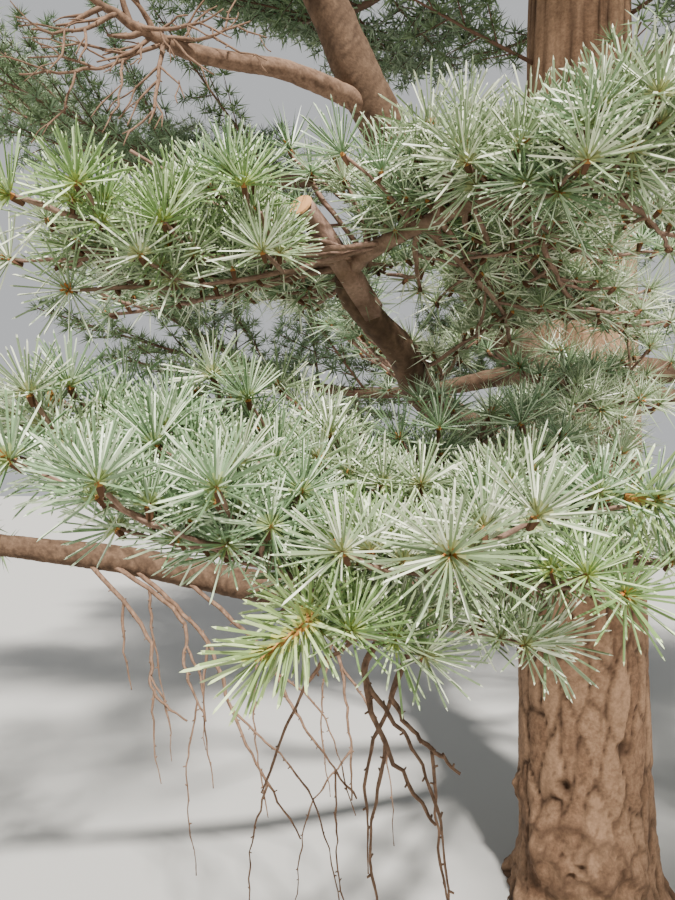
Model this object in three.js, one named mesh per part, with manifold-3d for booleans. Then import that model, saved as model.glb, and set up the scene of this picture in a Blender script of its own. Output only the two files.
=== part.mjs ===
// A young open-grown cedar with blue-grey needles in tufts, 8.2 m tall, rooted in level ground.
// Units are millimetres and +Z is up. The origin is the middle of the trunk's flat cut at ground level.
// The trunk runs up whole to its leader. Boughs leave it in tiers, and each ends where its foliage starts.
// A mass of foliage is one solid: a stem, side shoots by a seeded rule, and a toothed blade for each spray.
// The two low boughs that face -Y are short, with small sprays of tufts at close to life size.
import * as THREE from "three";
import { mergeVertices } from "three/addons/utils/BufferGeometryUtils.js";
import Module from "manifold-3d";

const wasm = await Module();
wasm.setup();

// Driving dimensions of the trunk
const HEIGHT = 8200;
const TRUNK_TOP = 6900; // where the trunk enters the leader's foliage
const STEM_RADIUS = 142;
const STEM_TAPER = 0.8;
const FLARE = 40;
const FLARE_HEIGHT = 45;
const ROOT_LOBES = 5;
const LOBE_DEPTH = 0.1;
const LOBE_HEIGHT = 110;
const SWAY = 35; // how far the trunk wanders from upright
const TRUNK_SIDES = 16;
const TRUNK_RINGS = 13;

// Driving dimensions of the crown
const WIDEST = 2000; // height of the widest tier
const CROWN_REACH = 2450; // from the trunk to a bough's tip, at the widest tier
const CROWN_TAPER = 0.85;
const LOW_RISE = 12; // degrees above level, of the lowest boughs
const HIGH_RISE = 42; // and of the highest
const SAG = 0.1; // share of its reach that a bough sinks midway
const TIP_LIFT = 0.07;
const SIDE_SWAY = 0.035;
const BARE_SHARE = 0.32; // share of a low bough that carries no foliage
const SHOOT_ANGLE = 54; // degrees from the stem, of a mass's first side shoots
const LAST_SHOOT_ANGLE = 36;
const SPREAD = 0.5; // length of the longest side shoots, as a share of the bough's reach
const HIGH_SPREAD = 0.575; // and on a high bough, whose foliage starts at the trunk
const LOW_SHOOTS = 7; // side shoots of one mass in the low tiers
const HIGH_SHOOTS = 6; // and in the high ones
const TIP_BLADE = 0.6; // length and width of a stem's last blade, as shares of the spread and of itself
const SHOOT_END = 6; // radius of a stem's thin end
const ROOT_JITTER = 130; // how far the boughs of one tier differ in height
const LEADER_SHOOTS = 12;
const LEADER_SHOOT = 620; // length of the leader's lowest shoots
const LEADER_LAST_SHOOT = 170; // and of its highest
const LEADER_BLADE = 330; // length of the upright blade at the very tip
const GOLDEN_ANGLE = 137.5; // degrees from one of the leader's shoots to the next
const GAP = 0.3; // clearance between solids that meet

// Tiers from the ground up: root height, bearings in degrees from +X, and whether the boughs show bare
const TIERS = [
  { height: 1150, bearings: [335, 28, 82, 136], bare: true, reach: 1850 },
  { height: 1800, bearings: [2, 74, 146, 296], bare: true },
  { height: 2480, bearings: [36, 118, 206, 322], bare: true },
  { height: 3150, bearings: [80, 162, 252, 350], bare: false },
  { height: 3850, bearings: [32, 122, 208, 300], bare: false },
  { height: 4500, bearings: [72, 168, 254, 346], bare: false },
  { height: 5150, bearings: [20, 140, 262], bare: false },
  { height: 5750, bearings: [80, 200, 322], bare: false },
  { height: 6350, bearings: [24, 144, 264], bare: false },
];

// The eye point in front of the low boughs, from which their shoots are placed.
// A point is given by its pixel in a picture of 675 by 900 pixels and its depth in millimetres.
const EYE = new THREE.Vector3(-534, -1500, 878);
const EYE_PITCH = THREE.MathUtils.degToRad(3);
const EYE_FOCAL = 676; // pixels
const EYE_CENTRE = [337.5, 450];

function seen([u, v, depth]) {
  const across = (u - EYE_CENTRE[0]) / EYE_FOCAL;
  const up = (EYE_CENTRE[1] - v) / EYE_FOCAL;
  const ahead = Math.cos(EYE_PITCH) - up * Math.sin(EYE_PITCH);
  const above = Math.sin(EYE_PITCH) + up * Math.cos(EYE_PITCH);
  return EYE.clone().add(new THREE.Vector3(across, ahead, above).multiplyScalar(depth));
}

// A repeatable number from 0 to 1 for a shoot and a question about it.
function chance(seed, question) {
  const wave = Math.sin(seed * 12.9898 + question * 78.233) * 43758.5453;
  return wave - Math.floor(wave);
}

const degrees = THREE.MathUtils.degToRad;
const lerp = THREE.MathUtils.lerp;
const UP = new THREE.Vector3(0, 0, 1);
const ACROSS = new THREE.Vector3(1, 0, 0);

// Solids

function solid(geometry) {
  const bare = geometry.clone();
  bare.deleteAttribute("normal");
  bare.deleteAttribute("uv");
  const merged = mergeVertices(bare, 1e-3);
  return new wasm.Manifold(
    new wasm.Mesh({
      numProp: 3,
      vertProperties: new Float32Array(merged.attributes.position.array),
      triVerts: new Uint32Array(merged.index.array),
    }),
  );
}

function geometryOf(manifold) {
  const mesh = manifold.getMesh();
  const geometry = new THREE.BufferGeometry();
  geometry.setAttribute("position", new THREE.BufferAttribute(mesh.vertProperties, 3));
  geometry.setIndex(new THREE.BufferAttribute(mesh.triVerts, 1));
  geometry.computeVertexNormals();
  return geometry;
}

// A closed round limb: a cylinder bent along a curve, as thick as radiusAt says.
function limb(curve, radiusAt, sides, steps) {
  const geometry = new THREE.CylinderGeometry(1, 1, 1, sides, steps);
  const place = geometry.attributes.position;
  for (let i = 0; i < place.count; i++) {
    const t = place.getY(i) + 0.5;
    const along = curve.getTangent(t);
    const side = along.clone().cross(Math.abs(along.z) > 0.9 ? ACROSS : UP).normalize();
    const over = side.clone().cross(along);
    const radius = radiusAt(t);
    const point = curve
      .getPoint(t)
      .addScaledVector(side, place.getX(i) * radius)
      .addScaledVector(over, place.getZ(i) * radius);
    place.setXYZ(i, point.x, point.y, point.z);
  }
  return geometry;
}

// A point on the straight runs between a limb's rings, where a shoot has its root well inside the wood.
function heart(curve, t, steps) {
  const ring = Math.min(Math.floor(t * steps), steps - 1);
  const from = curve.getPoint(ring / steps);
  return from.lerp(curve.getPoint((ring + 1) / steps), t * steps - ring);
}

// A straight three-sided twig.
function twig(from, to, rootRadius, tipRadius) {
  const curve = new THREE.LineCurve3(from, to);
  return { curve, made: solid(limb(curve, (t) => lerp(rootRadius, tipRadius, t), 3, 1)) };
}

// A basis whose X runs along a direction and whose Z is as near to up as it can be.
function basis(along, origin) {
  const x = along.clone().normalize();
  const y = (Math.abs(x.z) > 0.95 ? ACROSS : UP).clone().cross(x).normalize();
  const z = x.clone().cross(y);
  return new THREE.Matrix4().makeBasis(x, y, z).setPosition(origin);
}

// One side shoot with its sprays of needles: a blade that opens from the stem,
// with teeth that point forward on both sides of its rib.
// Each row of RIM is a point of the outline, as shares of the shoot's length and half width.
// The last row is the root, a little past the middle of the stem that carries the shoot.
const RIM = [
  [1, 0],
  [0.76, 0.78],
  [0.56, 0.46],
  [0.38, 0.96],
  [0.17, 0.1],
  [-0.02, 0],
];
const BLADE_MIDDLE = 0.52;
const BLADE_WIDTH = 0.78; // of its length
const BLADE_THICKNESS = 0.2; // of its width

function blade(root, along, length, width) {
  const points = 2 * (RIM.length - 1);
  const geometry = new THREE.SphereGeometry(1, points, 2);
  const place = geometry.attributes.position;
  for (let i = 0; i < place.count; i++) {
    const turn = Math.atan2(place.getZ(i), place.getX(i)) / (2 * Math.PI);
    const step = (Math.round(turn * points) + points) % points;
    const near = Math.min(step, points - step);
    const rim = Math.abs(place.getY(i)) < 0.5;
    const [far, wide] = rim ? RIM[near] : [BLADE_MIDDLE, 0];
    const hand = step > points / 2 ? 1 : -1;
    place.setXYZ(i, far * length, hand * wide * width * 0.5, place.getY(i) * width * BLADE_THICKNESS * 0.5);
  }
  return solid(geometry.applyMatrix4(basis(along, root)));
}

// One tuft of needles at close to life size: a shallow star that opens along its short shoot.
const TUFT_POINTS = 8; // of the rim, every other one a notch
const TUFT_NOTCH = 0.42; // shares of the tuft's radius, as the next two are
const TUFT_CUP = 0.35;
const TUFT_DEPTH = 0.32;

function tuft(centre, facing, radius) {
  const geometry = new THREE.SphereGeometry(1, TUFT_POINTS, 2);
  const place = geometry.attributes.position;
  for (let i = 0; i < place.count; i++) {
    const x = place.getX(i);
    const z = place.getZ(i);
    const rim = Math.hypot(x, z) > 0.5;
    const step = Math.round((Math.atan2(z, x) / Math.PI) * (TUFT_POINTS / 2) + TUFT_POINTS);
    const point = rim && step % 2 === 0;
    const share = point ? 1 : rim ? TUFT_NOTCH : 0;
    const cup = point ? TUFT_CUP : place.getY(i) * TUFT_DEPTH;
    place.setXYZ(i, cup * radius, -x * share * radius, z * share * radius);
  }
  return solid(geometry.applyMatrix4(basis(facing, centre)));
}

function spans(box, other) {
  return [0, 1, 2].every((k) => box.min[k] <= other.max[k] && other.min[k] <= box.max[k]);
}

function touches(piece, others) {
  const box = piece.boundingBox();
  return others.some((other) => spans(box, other.box) && !piece.intersect(other.made).isEmpty());
}

function overlaps(piece, others) {
  return others.some((other) => !piece.intersect(other).isEmpty());
}

// Joins pieces into one body, and drops any loose scrap.
function fused(pieces) {
  const bodies = wasm.Manifold.union(pieces).decompose();
  return bodies.reduce((most, body) => (body.volume() > most.volume() ? body : most));
}

// The finished nodes

const cedar = new THREE.Group();
cedar.name = "cedar";
const standing = []; // every solid so far, for the rule that no shoot touches another node

const bark = new THREE.MeshStandardMaterial({ color: 0xa07c62, roughness: 0.95, metalness: 0 });
const youngBark = new THREE.MeshStandardMaterial({ color: 0x8d6a52, roughness: 0.9, metalness: 0 });
const needles = new THREE.MeshStandardMaterial({ color: 0x93a68c, roughness: 0.6, metalness: 0 });
const deadWood = new THREE.MeshStandardMaterial({ color: 0x7c5c48, roughness: 0.95, metalness: 0 });

function plant(name, made, material) {
  const mesh = new THREE.Mesh(geometryOf(made), material);
  mesh.name = name;
  cedar.add(mesh);
  standing.push({ made, box: made.boundingBox() });
  return made;
}

// Trunk: level rings round a slightly wandering axis, closer together in the root flare.

function trunkAxis(z) {
  const turn = (z / HEIGHT) * Math.PI * 2;
  const settle = Math.min(1, z / 2500);
  return new THREE.Vector3(
    SWAY * Math.sin(turn * 0.8) * settle,
    SWAY * 0.8 * Math.sin(turn * 1.1 + 0.6) * settle,
    z,
  );
}

function trunkRadius(z) {
  const body = STEM_RADIUS * (1 - z / HEIGHT) ** STEM_TAPER;
  return body + FLARE * Math.exp(-z / FLARE_HEIGHT);
}

function trunkSolid(extra) {
  const geometry = new THREE.CylinderGeometry(1, 1, 1, TRUNK_SIDES, TRUNK_RINGS);
  const place = geometry.attributes.position;
  for (let i = 0; i < place.count; i++) {
    const share = place.getY(i) + 0.5;
    const z = TRUNK_TOP * share ** 1.7 + extra * share;
    const turn = Math.atan2(-place.getZ(i), place.getX(i));
    const lobe = 1 + LOBE_DEPTH * Math.cos(ROOT_LOBES * turn + 1) * Math.exp(-z / LOBE_HEIGHT);
    const radius = trunkRadius(z) * lobe + extra;
    const axis = trunkAxis(z);
    place.setXYZ(i, axis.x + place.getX(i) * radius, axis.y - place.getZ(i) * radius, axis.z);
  }
  return solid(geometry);
}

plant("trunk", trunkSolid(0), bark);
const clearOfTrunk = trunkSolid(GAP);

// Boughs of the tiers

function crownReach(height) {
  const share = (HEIGHT - height) / (HEIGHT - WIDEST);
  return CROWN_REACH * Math.min(1, share) ** CROWN_TAPER;
}

// The line that a bough and its foliage follow, from the trunk's middle to the furthest tip.
function boughLine(height, bearing, reach, seed) {
  const lowest = TIERS[0].height;
  const highest = TIERS[TIERS.length - 1].height;
  const share = THREE.MathUtils.clamp((height - lowest) / (highest - lowest), 0, 1);
  const rise = Math.tan(degrees(lerp(LOW_RISE, HIGH_RISE, share)));
  const out = new THREE.Vector3(Math.cos(degrees(bearing)), Math.sin(degrees(bearing)), 0);
  const side = UP.clone().cross(out);
  const root = trunkAxis(height);
  const points = [];
  for (let i = 0; i <= 8; i++) {
    const s = i / 8;
    const sway = SIDE_SWAY * Math.sin(s * 5 + seed) * s;
    const climb = rise * s - SAG * Math.sin(Math.PI * s) + TIP_LIFT * s ** 3;
    points.push(
      root
        .clone()
        .addScaledVector(out, reach * s)
        .addScaledVector(side, reach * sway)
        .addScaledVector(UP, reach * climb),
    );
  }
  return new THREE.CatmullRomCurve3(points);
}

// The stretch of a line between two shares of it, as a curve of its own.
class Stretch extends THREE.Curve {
  constructor(line, start, end) {
    super();
    this.line = line;
    this.start = start;
    this.end = end;
  }
  getPoint(t) {
    return this.line.getPoint(lerp(this.start, this.end, t));
  }
}

// The rest of a line past a share of it, cut square a hair beyond the bough that ends there.
function restOf(line, share) {
  const step = 1e-3;
  const speed = line.getPoint(share).distanceTo(line.getPoint(share + step)) / step;
  return new Stretch(line, share + (1.5 * GAP) / speed, 1);
}

function boughRadius(reach) {
  return 6 + reach * 0.012;
}

// A mass of foliage on a stem: side shoots left and right, longest near the start, each with its blade.
function foliage(stem, rootRadius, spread, seed, count, onTrunk) {
  const steps = 4;
  const stemSolid = solid(limb(stem, (t) => lerp(rootRadius, SHOOT_END, t), 3, steps));
  const pieces = [onTrunk ? stemSolid.subtract(clearOfTrunk) : stemSolid];
  const ahead = stem.getTangent(1);
  const tipLength = TIP_BLADE * spread;
  const tipRoot = stem.getPoint(1).addScaledVector(ahead, -0.8 * tipLength);
  pieces.push(blade(tipRoot, ahead, tipLength, TIP_BLADE * tipLength));
  for (let i = 0; i < count; i++) {
    const t = lerp(onTrunk ? 0.2 : 0.04, 0.82, i / (count - 1));
    const hand = i % 2 ? 1 : -1;
    const angle = degrees(lerp(SHOOT_ANGLE, LAST_SHOOT_ANGLE, t) + 10 * (chance(seed, i) - 0.5));
    const tilt = degrees(lerp(-10, 26, chance(seed, i + 20)));
    const along = stem.getTangent(t);
    const flat = UP.clone().cross(along).normalize().multiplyScalar(hand);
    const way = along
      .clone()
      .multiplyScalar(Math.cos(angle))
      .addScaledVector(flat, Math.sin(angle))
      .addScaledVector(UP, Math.sin(tilt))
      .normalize();
    const opening = Math.min(1, (t + 0.12) / 0.3) ** 0.6;
    const length = spread * opening * (1 - t) ** 0.5 * lerp(0.9, 1.12, chance(seed, i + 40));
    const leaf = blade(heart(stem, t, steps), way, length, BLADE_WIDTH * length);
    if (!touches(leaf, standing)) pieces.push(leaf);
  }
  return fused(pieces);
}

// One bough of a tier, and its mass of foliage.
function growBough(label, height, bearing, reach, seed, bare) {
  const line = boughLine(height, bearing, reach, seed);
  const root = boughRadius(reach);
  if (!bare) {
    plant(`foliage_${label}`, foliage(line, root, HIGH_SPREAD * reach, seed, HIGH_SHOOTS, true), needles);
    return;
  }
  const end = root * 0.6;
  const wood = limb(new Stretch(line, 0, BARE_SHARE), (t) => lerp(root, end, t), 5, 4);
  plant(`bough_${label}`, solid(wood).subtract(clearOfTrunk), youngBark);
  const stem = restOf(line, BARE_SHARE);
  plant(`foliage_${label}`, foliage(stem, end, SPREAD * reach, seed, LOW_SHOOTS, false), needles);
}

// The low boughs that face the eye point, each from a few points on its line.

function lineThrough(...points) {
  return new THREE.CatmullRomCurve3(points);
}

// Plants a bough, and gives back the space round it that whatever meets its side keeps out of.
function lowBough(name, curve, rootRadius, tipRadius) {
  const wood = limb(curve, (t) => lerp(rootRadius, tipRadius, t), 6, 6);
  plant(name, solid(wood).subtract(clearOfTrunk), youngBark);
  return solid(limb(curve, (t) => lerp(rootRadius, tipRadius, t) + GAP, 6, 6));
}

// Shoots to tips chosen one by one, with life-size tufts along each.
function tuftedSpray(stem, rootRadius, tips, tuftRadius) {
  const steps = 6;
  const pieces = [solid(limb(stem, (t) => lerp(rootRadius, 2.5, t), 4, steps))];
  const stars = [tuft(stem.getPoint(1), stem.getTangent(1), tuftRadius)];
  tips.forEach(({ from, to }, i) => {
    const shoot = twig(heart(stem, from, steps), seen(to), 3.2, 1.8);
    if (touches(shoot.made, standing)) return;
    pieces.push(shoot.made);
    const count = shoot.curve.getLength() > 130 ? 2 : 1;
    for (let k = 0; k < count; k++) {
      const lean = new THREE.Vector3(chance(i, k) - 0.5, -0.5, 0.9 * (chance(i, k + 9) - 0.25));
      const facing = k === 0 ? shoot.curve.getTangent(1).add(lean) : lean.add(UP);
      const star = tuft(shoot.curve.getPoint(1 - 0.4 * k), facing, tuftRadius);
      if (!touches(star, standing) && !overlaps(star, stars)) stars.push(star);
    }
  });
  return fused([...pieces, ...stars]);
}

// Bare dead twigs that fork down from one stem, which hangs from the bough whose space is given.
function deadTwigs(stem, rootRadius, drop, count, seed, boughSpace) {
  const steps = 4;
  const pieces = [solid(limb(stem, (t) => lerp(rootRadius, 2, t), 4, steps)).subtract(boughSpace)];
  for (let i = 0; i < count; i++) {
    const from = heart(stem, lerp(0.25, 0.92, i / (count - 1)), steps);
    const fall = drop * lerp(0.6, 1, chance(seed, i));
    const aside = new THREE.Vector3(chance(seed, i + 10) - 0.4, chance(seed, i + 20) - 0.5, -1);
    const to = from.clone().addScaledVector(aside.normalize(), fall);
    const hanging = twig(from, to, 2.6, 1.4);
    if (touches(hanging.made, standing)) continue;
    pieces.push(hanging.made);
    const fork = hanging.curve.getPoint(0.55);
    const forkWay = new THREE.Vector3(0.9 * (chance(seed, i + 30) - 0.3), chance(seed, i + 40) - 0.5, -0.8);
    const forked = twig(fork, fork.clone().addScaledVector(forkWay.normalize(), fall * 0.45), 1.8, 1.1);
    if (!touches(forked.made, standing)) pieces.push(forked.made);
  }
  return fused(pieces);
}

// Front bough: from the trunk to the near tuft-clad spray.
const FRONT_SPLIT = 0.5;
const frontLine = lineThrough(
  trunkAxis(770),
  new THREE.Vector3(-190, -480, 815),
  seen([520, 500, 620]),
  seen([440, 505, 460]),
  seen([350, 560, 360]),
  seen([225, 655, 275]),
);
const frontSpace = lowBough("bough_front", new Stretch(frontLine, 0, FRONT_SPLIT), 20, 9);

// Upper bough: rises to the fork where the photographed limb was cut back.
const UPPER_FORK = [348, 275, 425];
const UPPER_SPLIT = 0.5;
const upperLine = lineThrough(
  trunkAxis(900),
  seen([430, 400, 600]),
  seen([400, 350, 500]),
  seen(UPPER_FORK),
  seen([450, 212, 370]),
  seen([560, 180, 340]),
  seen([700, 130, 310]),
);
lowBough("bough_upper", new Stretch(upperLine, 0, UPPER_SPLIT), 19, 8);

// Steep bough: climbs past the upper one and out of the eye point's view.
const STEEP_SPLIT = 0.6;
const steepLine = lineThrough(
  trunkAxis(960),
  seen([375, 110, 1050]),
  seen([325, 0, 1000]),
  new THREE.Vector3(-720, -680, 1830),
  new THREE.Vector3(-1050, -1000, 2020),
  new THREE.Vector3(-1390, -1330, 2160),
);
const steepSpace = lowBough("bough_steep", new Stretch(steepLine, 0, STEEP_SPLIT), 42, 24);

// Bare bough: dead, and carried by the steep one.
const BARE_TIP = [180, 48, 860];
const BARE_SPLIT = 0.7;
const bareLine = lineThrough(
  seen([375, 110, 1050]),
  seen([290, 72, 950]),
  seen(BARE_TIP),
  seen([60, -20, 790]),
);
const bareWood = solid(limb(new Stretch(bareLine, 0, BARE_SPLIT), (t) => lerp(17, 10, t), 6, 5));
plant("bough_bare", fused([bareWood.subtract(steepSpace)]), deadWood);

// Low bough: runs level behind the front spray to its own foliage.
const LOW_SPLIT = 0.6;
const lowLine = lineThrough(
  trunkAxis(640),
  seen([290, 590, 1200]),
  seen([125, 560, 1100]),
  seen([0, 545, 1050]),
  new THREE.Vector3(-1400, -560, 850),
  new THREE.Vector3(-1800, -720, 930),
);
const lowSpace = lowBough("bough_low", new Stretch(lowLine, 0, LOW_SPLIT), 34, 17);

// Tufted sprays: where each shoot leaves its stem, as a share of it, and the tip that it reaches.
const frontStem = restOf(frontLine, FRONT_SPLIT);
const frontTips = [
  { from: 0.12, to: [560, 440, 400] },
  { from: 0.14, to: [330, 415, 440] },
  { from: 0.2, to: [490, 415, 420] },
  { from: 0.26, to: [655, 500, 300] },
  { from: 0.3, to: [240, 430, 380] },
  { from: 0.36, to: [625, 595, 290] },
  { from: 0.42, to: [60, 400, 350] },
  { from: 0.48, to: [530, 475, 350] },
  { from: 0.54, to: [150, 440, 320] },
  { from: 0.58, to: [450, 555, 255] },
  { from: 0.64, to: [10, 460, 265] },
  { from: 0.7, to: [545, 640, 320] },
  { from: 0.76, to: [200, 485, 290] },
  { from: 0.84, to: [395, 640, 285] },
  { from: 0.3, to: [760, 560, 330] },
  { from: 0.4, to: [-90, 420, 330] },
];
plant("foliage_front", tuftedSpray(frontStem, 9, frontTips, 30), needles);

const upperStem = restOf(upperLine, UPPER_SPLIT);
const upperTips = [
  { from: 0.02, to: [300, 205, 385] },
  { from: 0.03, to: [190, 245, 380] },
  { from: 0.05, to: [88, 190, 330] },
  { from: 0.07, to: [213, 190, 350] },
  { from: 0.1, to: [290, 150, 400] },
  { from: 0.12, to: [10, 195, 300] },
  { from: 0.14, to: [70, 290, 340] },
  { from: 0.22, to: [430, 128, 340] },
  { from: 0.32, to: [480, 290, 430] },
  { from: 0.42, to: [500, 140, 370] },
  { from: 0.5, to: [557, 128, 320] },
  { from: 0.6, to: [610, 290, 380] },
  { from: 0.76, to: [628, 92, 300] },
  { from: 0.55, to: [640, 340, 520] },
  { from: 0.86, to: [800, 180, 330] },
];
plant("foliage_upper", tuftedSpray(upperStem, 8, upperTips, 29), needles);

// Bare dead twigs at the end of the bare bough, and those that hang under the front and low boughs.
const bareStem = restOf(bareLine, BARE_SPLIT);
const bareTips = [
  { from: 0.02, to: [20, 75, 760] },
  { from: 0.06, to: [150, 125, 800] },
  { from: 0.3, to: [225, 10, 800] },
  { from: 0.5, to: [30, 30, 740] },
];
const bareTwigs = bareTips
  .map(({ from, to }) => twig(heart(bareStem, from, 4), seen(to), 5, 2.5).made)
  .filter((made) => !touches(made, standing));
plant("twigs_bare", fused([solid(limb(bareStem, (t) => lerp(10, 3, t), 5, 4)), ...bareTwigs]), deadWood);

const frontHang = lineThrough(
  frontLine.getPoint(0.38),
  seen([372, 640, 640]),
  seen([385, 720, 630]),
  seen([440, 830, 620]),
);
plant("twigs_under_front", deadTwigs(frontHang, 4, 150, 4, 71, frontSpace), deadWood);

const lowHang = lineThrough(
  lowLine.getPoint(0.4),
  seen([205, 640, 1060]),
  seen([240, 730, 1000]),
  seen([300, 840, 960]),
);
plant("twigs_under_low", deadTwigs(lowHang, 5, 240, 3, 87, lowSpace), deadWood);

// Foliage of the steep and low boughs.
plant("foliage_steep", foliage(restOf(steepLine, STEEP_SPLIT), 24, 760, 31, LOW_SHOOTS, false), needles);
plant("foliage_low", foliage(restOf(lowLine, LOW_SPLIT), 17, 560, 47, LOW_SHOOTS, false), needles);

// The tiers, numbered from the ground up.
TIERS.forEach((tier, level) => {
  const reach = tier.reach ?? crownReach(tier.height);
  tier.bearings.forEach((bearing, i) => {
    const seed = level * 10 + i + 1;
    const height = tier.height + ROOT_JITTER * (chance(seed, 3) - 0.5);
    const length = reach * lerp(0.92, 1.05, chance(seed, 5));
    growBough(`${level + 1}_${i + 1}`, height, bearing, length, seed, tier.bare);
  });
});

// Leader: the trunk's own line carried on to the tip, with short shoots all round it.
function leader() {
  const stem = lineThrough(trunkAxis(TRUNK_TOP - 20), trunkAxis(7500), trunkAxis(HEIGHT - 120));
  const wood = solid(limb(stem, (t) => lerp(0.9 * trunkRadius(TRUNK_TOP), 8, t), 5, 3));
  const pieces = [wood.subtract(clearOfTrunk)];
  for (let i = 0; i < LEADER_SHOOTS; i++) {
    const t = lerp(0.05, 0.84, i / (LEADER_SHOOTS - 1));
    const bearing = degrees(i * GOLDEN_ANGLE);
    const reach = lerp(LEADER_SHOOT, LEADER_LAST_SHOOT, t ** 0.8);
    const way = new THREE.Vector3(Math.cos(bearing), Math.sin(bearing), lerp(0.75, 1.3, t)).normalize();
    const leaf = blade(stem.getPoint(t), way, reach, 0.55 * reach);
    if (!touches(leaf, standing) && !overlaps(leaf, pieces.slice(1))) pieces.push(leaf);
  }
  pieces.push(blade(trunkAxis(HEIGHT - LEADER_BLADE), UP, LEADER_BLADE, 0.4 * LEADER_BLADE));
  return fused(pieces);
}
plant("foliage_leader", leader(), needles);

export default cedar;
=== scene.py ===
import math

import bpy
import numpy as np
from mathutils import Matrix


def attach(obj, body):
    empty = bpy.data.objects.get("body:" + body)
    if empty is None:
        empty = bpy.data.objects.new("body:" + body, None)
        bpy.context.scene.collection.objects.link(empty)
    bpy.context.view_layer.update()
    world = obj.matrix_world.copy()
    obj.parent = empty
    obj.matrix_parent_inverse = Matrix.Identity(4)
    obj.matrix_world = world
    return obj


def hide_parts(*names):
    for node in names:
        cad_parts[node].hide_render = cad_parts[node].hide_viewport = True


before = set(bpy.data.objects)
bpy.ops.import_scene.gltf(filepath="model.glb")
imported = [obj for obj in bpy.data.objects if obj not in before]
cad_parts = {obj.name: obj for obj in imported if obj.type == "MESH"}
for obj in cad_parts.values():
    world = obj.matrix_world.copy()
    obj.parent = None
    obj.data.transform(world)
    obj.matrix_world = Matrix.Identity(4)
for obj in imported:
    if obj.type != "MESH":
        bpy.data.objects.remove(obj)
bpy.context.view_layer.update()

# Camera: a phone held inside the edge of the lower crown, level with the low sprays.
# Its long side takes in 67 degrees, so the picture of 675 by 900 has a focal length of 676 pixels.
PICTURE = (675, 900)
EYE = np.array([-0.534, -1.5, 0.878])
EYE_PITCH = math.radians(3)
FOCAL = 676
SENSOR = 36.0


def seen(u, v, depth):
    """The place of a pixel of the picture at a depth in front of the eye."""
    across = (u - PICTURE[0] / 2) / FOCAL
    up = (PICTURE[1] / 2 - v) / FOCAL
    ahead = math.cos(EYE_PITCH) - up * math.sin(EYE_PITCH)
    above = math.sin(EYE_PITCH) + up * math.cos(EYE_PITCH)
    return EYE + depth * np.array([across, ahead, above])


camera_data = bpy.data.cameras.new("eye")
camera_data.sensor_width = SENSOR
camera_data.lens = SENSOR * FOCAL / max(PICTURE)
camera_data.clip_start = 0.02
camera_data.clip_end = 200
camera = bpy.data.objects.new("eye", camera_data)
camera.location = EYE
camera.rotation_euler = (math.pi / 2 + EYE_PITCH, 0, 0)
bpy.context.scene.collection.objects.link(camera)
bpy.context.scene.camera = camera

# Floor and backdrop: a wide pale floor, and a plain pale sky that also gives the soft fill.
# One broad lamp stands high behind the eye, a little to its right.
FLOOR_RADIUS = 60
FLOOR_SIDES = 64
KEY_STRENGTH = 12.2
KEY_SOFTNESS = 4  # degrees across, as seen from the tree
KEY_FROM_ZENITH = 41
KEY_BEARING = 9
FILL_STRENGTH = 0.7


def linear(code):
    """An sRGB hex colour as linear red, green, blue and alpha."""
    parts = [int(code[i : i + 2], 16) / 255 for i in (1, 3, 5)]
    curve = [c / 12.92 if c <= 0.04045 else ((c + 0.055) / 1.055) ** 2.4 for c in parts]
    return (*curve, 1.0)


def add_node(tree, kind, inputs=None, **settings):
    """Adds a node with its settings and inputs. A node given as an input means its first output."""
    node = tree.nodes.new(kind)
    for name, value in settings.items():
        setattr(node, name, value)
    for name, value in (inputs or {}).items():
        source = value.outputs[0] if isinstance(value, bpy.types.Node) else value
        if isinstance(source, bpy.types.NodeSocket):
            tree.links.new(source, node.inputs[name])
        else:
            node.inputs[name].default_value = source
    return node


def new_material(name):
    """A material without nodes, and its node tree."""
    made = bpy.data.materials.new(name)
    made.use_nodes = True
    made.node_tree.nodes.clear()
    return made, made.node_tree


def mesh_object(name, points, faces, material=None):
    """A mesh from points and faces, as an object at the origin."""
    mesh = bpy.data.meshes.new(name)
    mesh.from_pydata(np.asarray(points).tolist(), [], [list(map(int, f)) for f in faces])
    mesh.update()
    thing = bpy.data.objects.new(name, mesh)
    bpy.context.scene.collection.objects.link(thing)
    if material:
        mesh.materials.append(material)
    return thing


def plain_finish(name, colour, roughness, specular=0.5):
    """A material of one colour, for things whose colour is dealt out piece by piece."""
    made, tree = new_material(name)
    values = {"Base Color": linear(colour), "Roughness": roughness, "Specular IOR Level": specular}
    shader = add_node(tree, "ShaderNodeBsdfPrincipled", values)
    add_node(tree, "ShaderNodeOutputMaterial", {"Surface": shader})
    return made


floor_turns = np.arange(FLOOR_SIDES) / FLOOR_SIDES * 2 * math.pi
floor_rim = [(FLOOR_RADIUS * math.cos(a), FLOOR_RADIUS * math.sin(a), 0) for a in floor_turns]
floor = mesh_object("floor", floor_rim, [range(FLOOR_SIDES)], plain_finish("pale floor", "#A9A8A5", 0.9))

sky = bpy.data.worlds.new("pale sky")
sky.use_nodes = True
sky.node_tree.nodes.clear()
sky_values = {"Color": linear("#E9EBEE"), "Strength": FILL_STRENGTH}
sky_glow = add_node(sky.node_tree, "ShaderNodeBackground", sky_values)
add_node(sky.node_tree, "ShaderNodeOutputWorld", {"Surface": sky_glow})
bpy.context.scene.world = sky

key_data = bpy.data.lights.new("key", "SUN")
key_data.energy = KEY_STRENGTH
key_data.angle = math.radians(KEY_SOFTNESS)
key_data.color = (1.0, 0.96, 0.9)
key = bpy.data.objects.new("key", key_data)
key.rotation_euler = (math.radians(KEY_FROM_ZENITH), 0, math.radians(KEY_BEARING))
bpy.context.scene.collection.objects.link(key)

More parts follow.
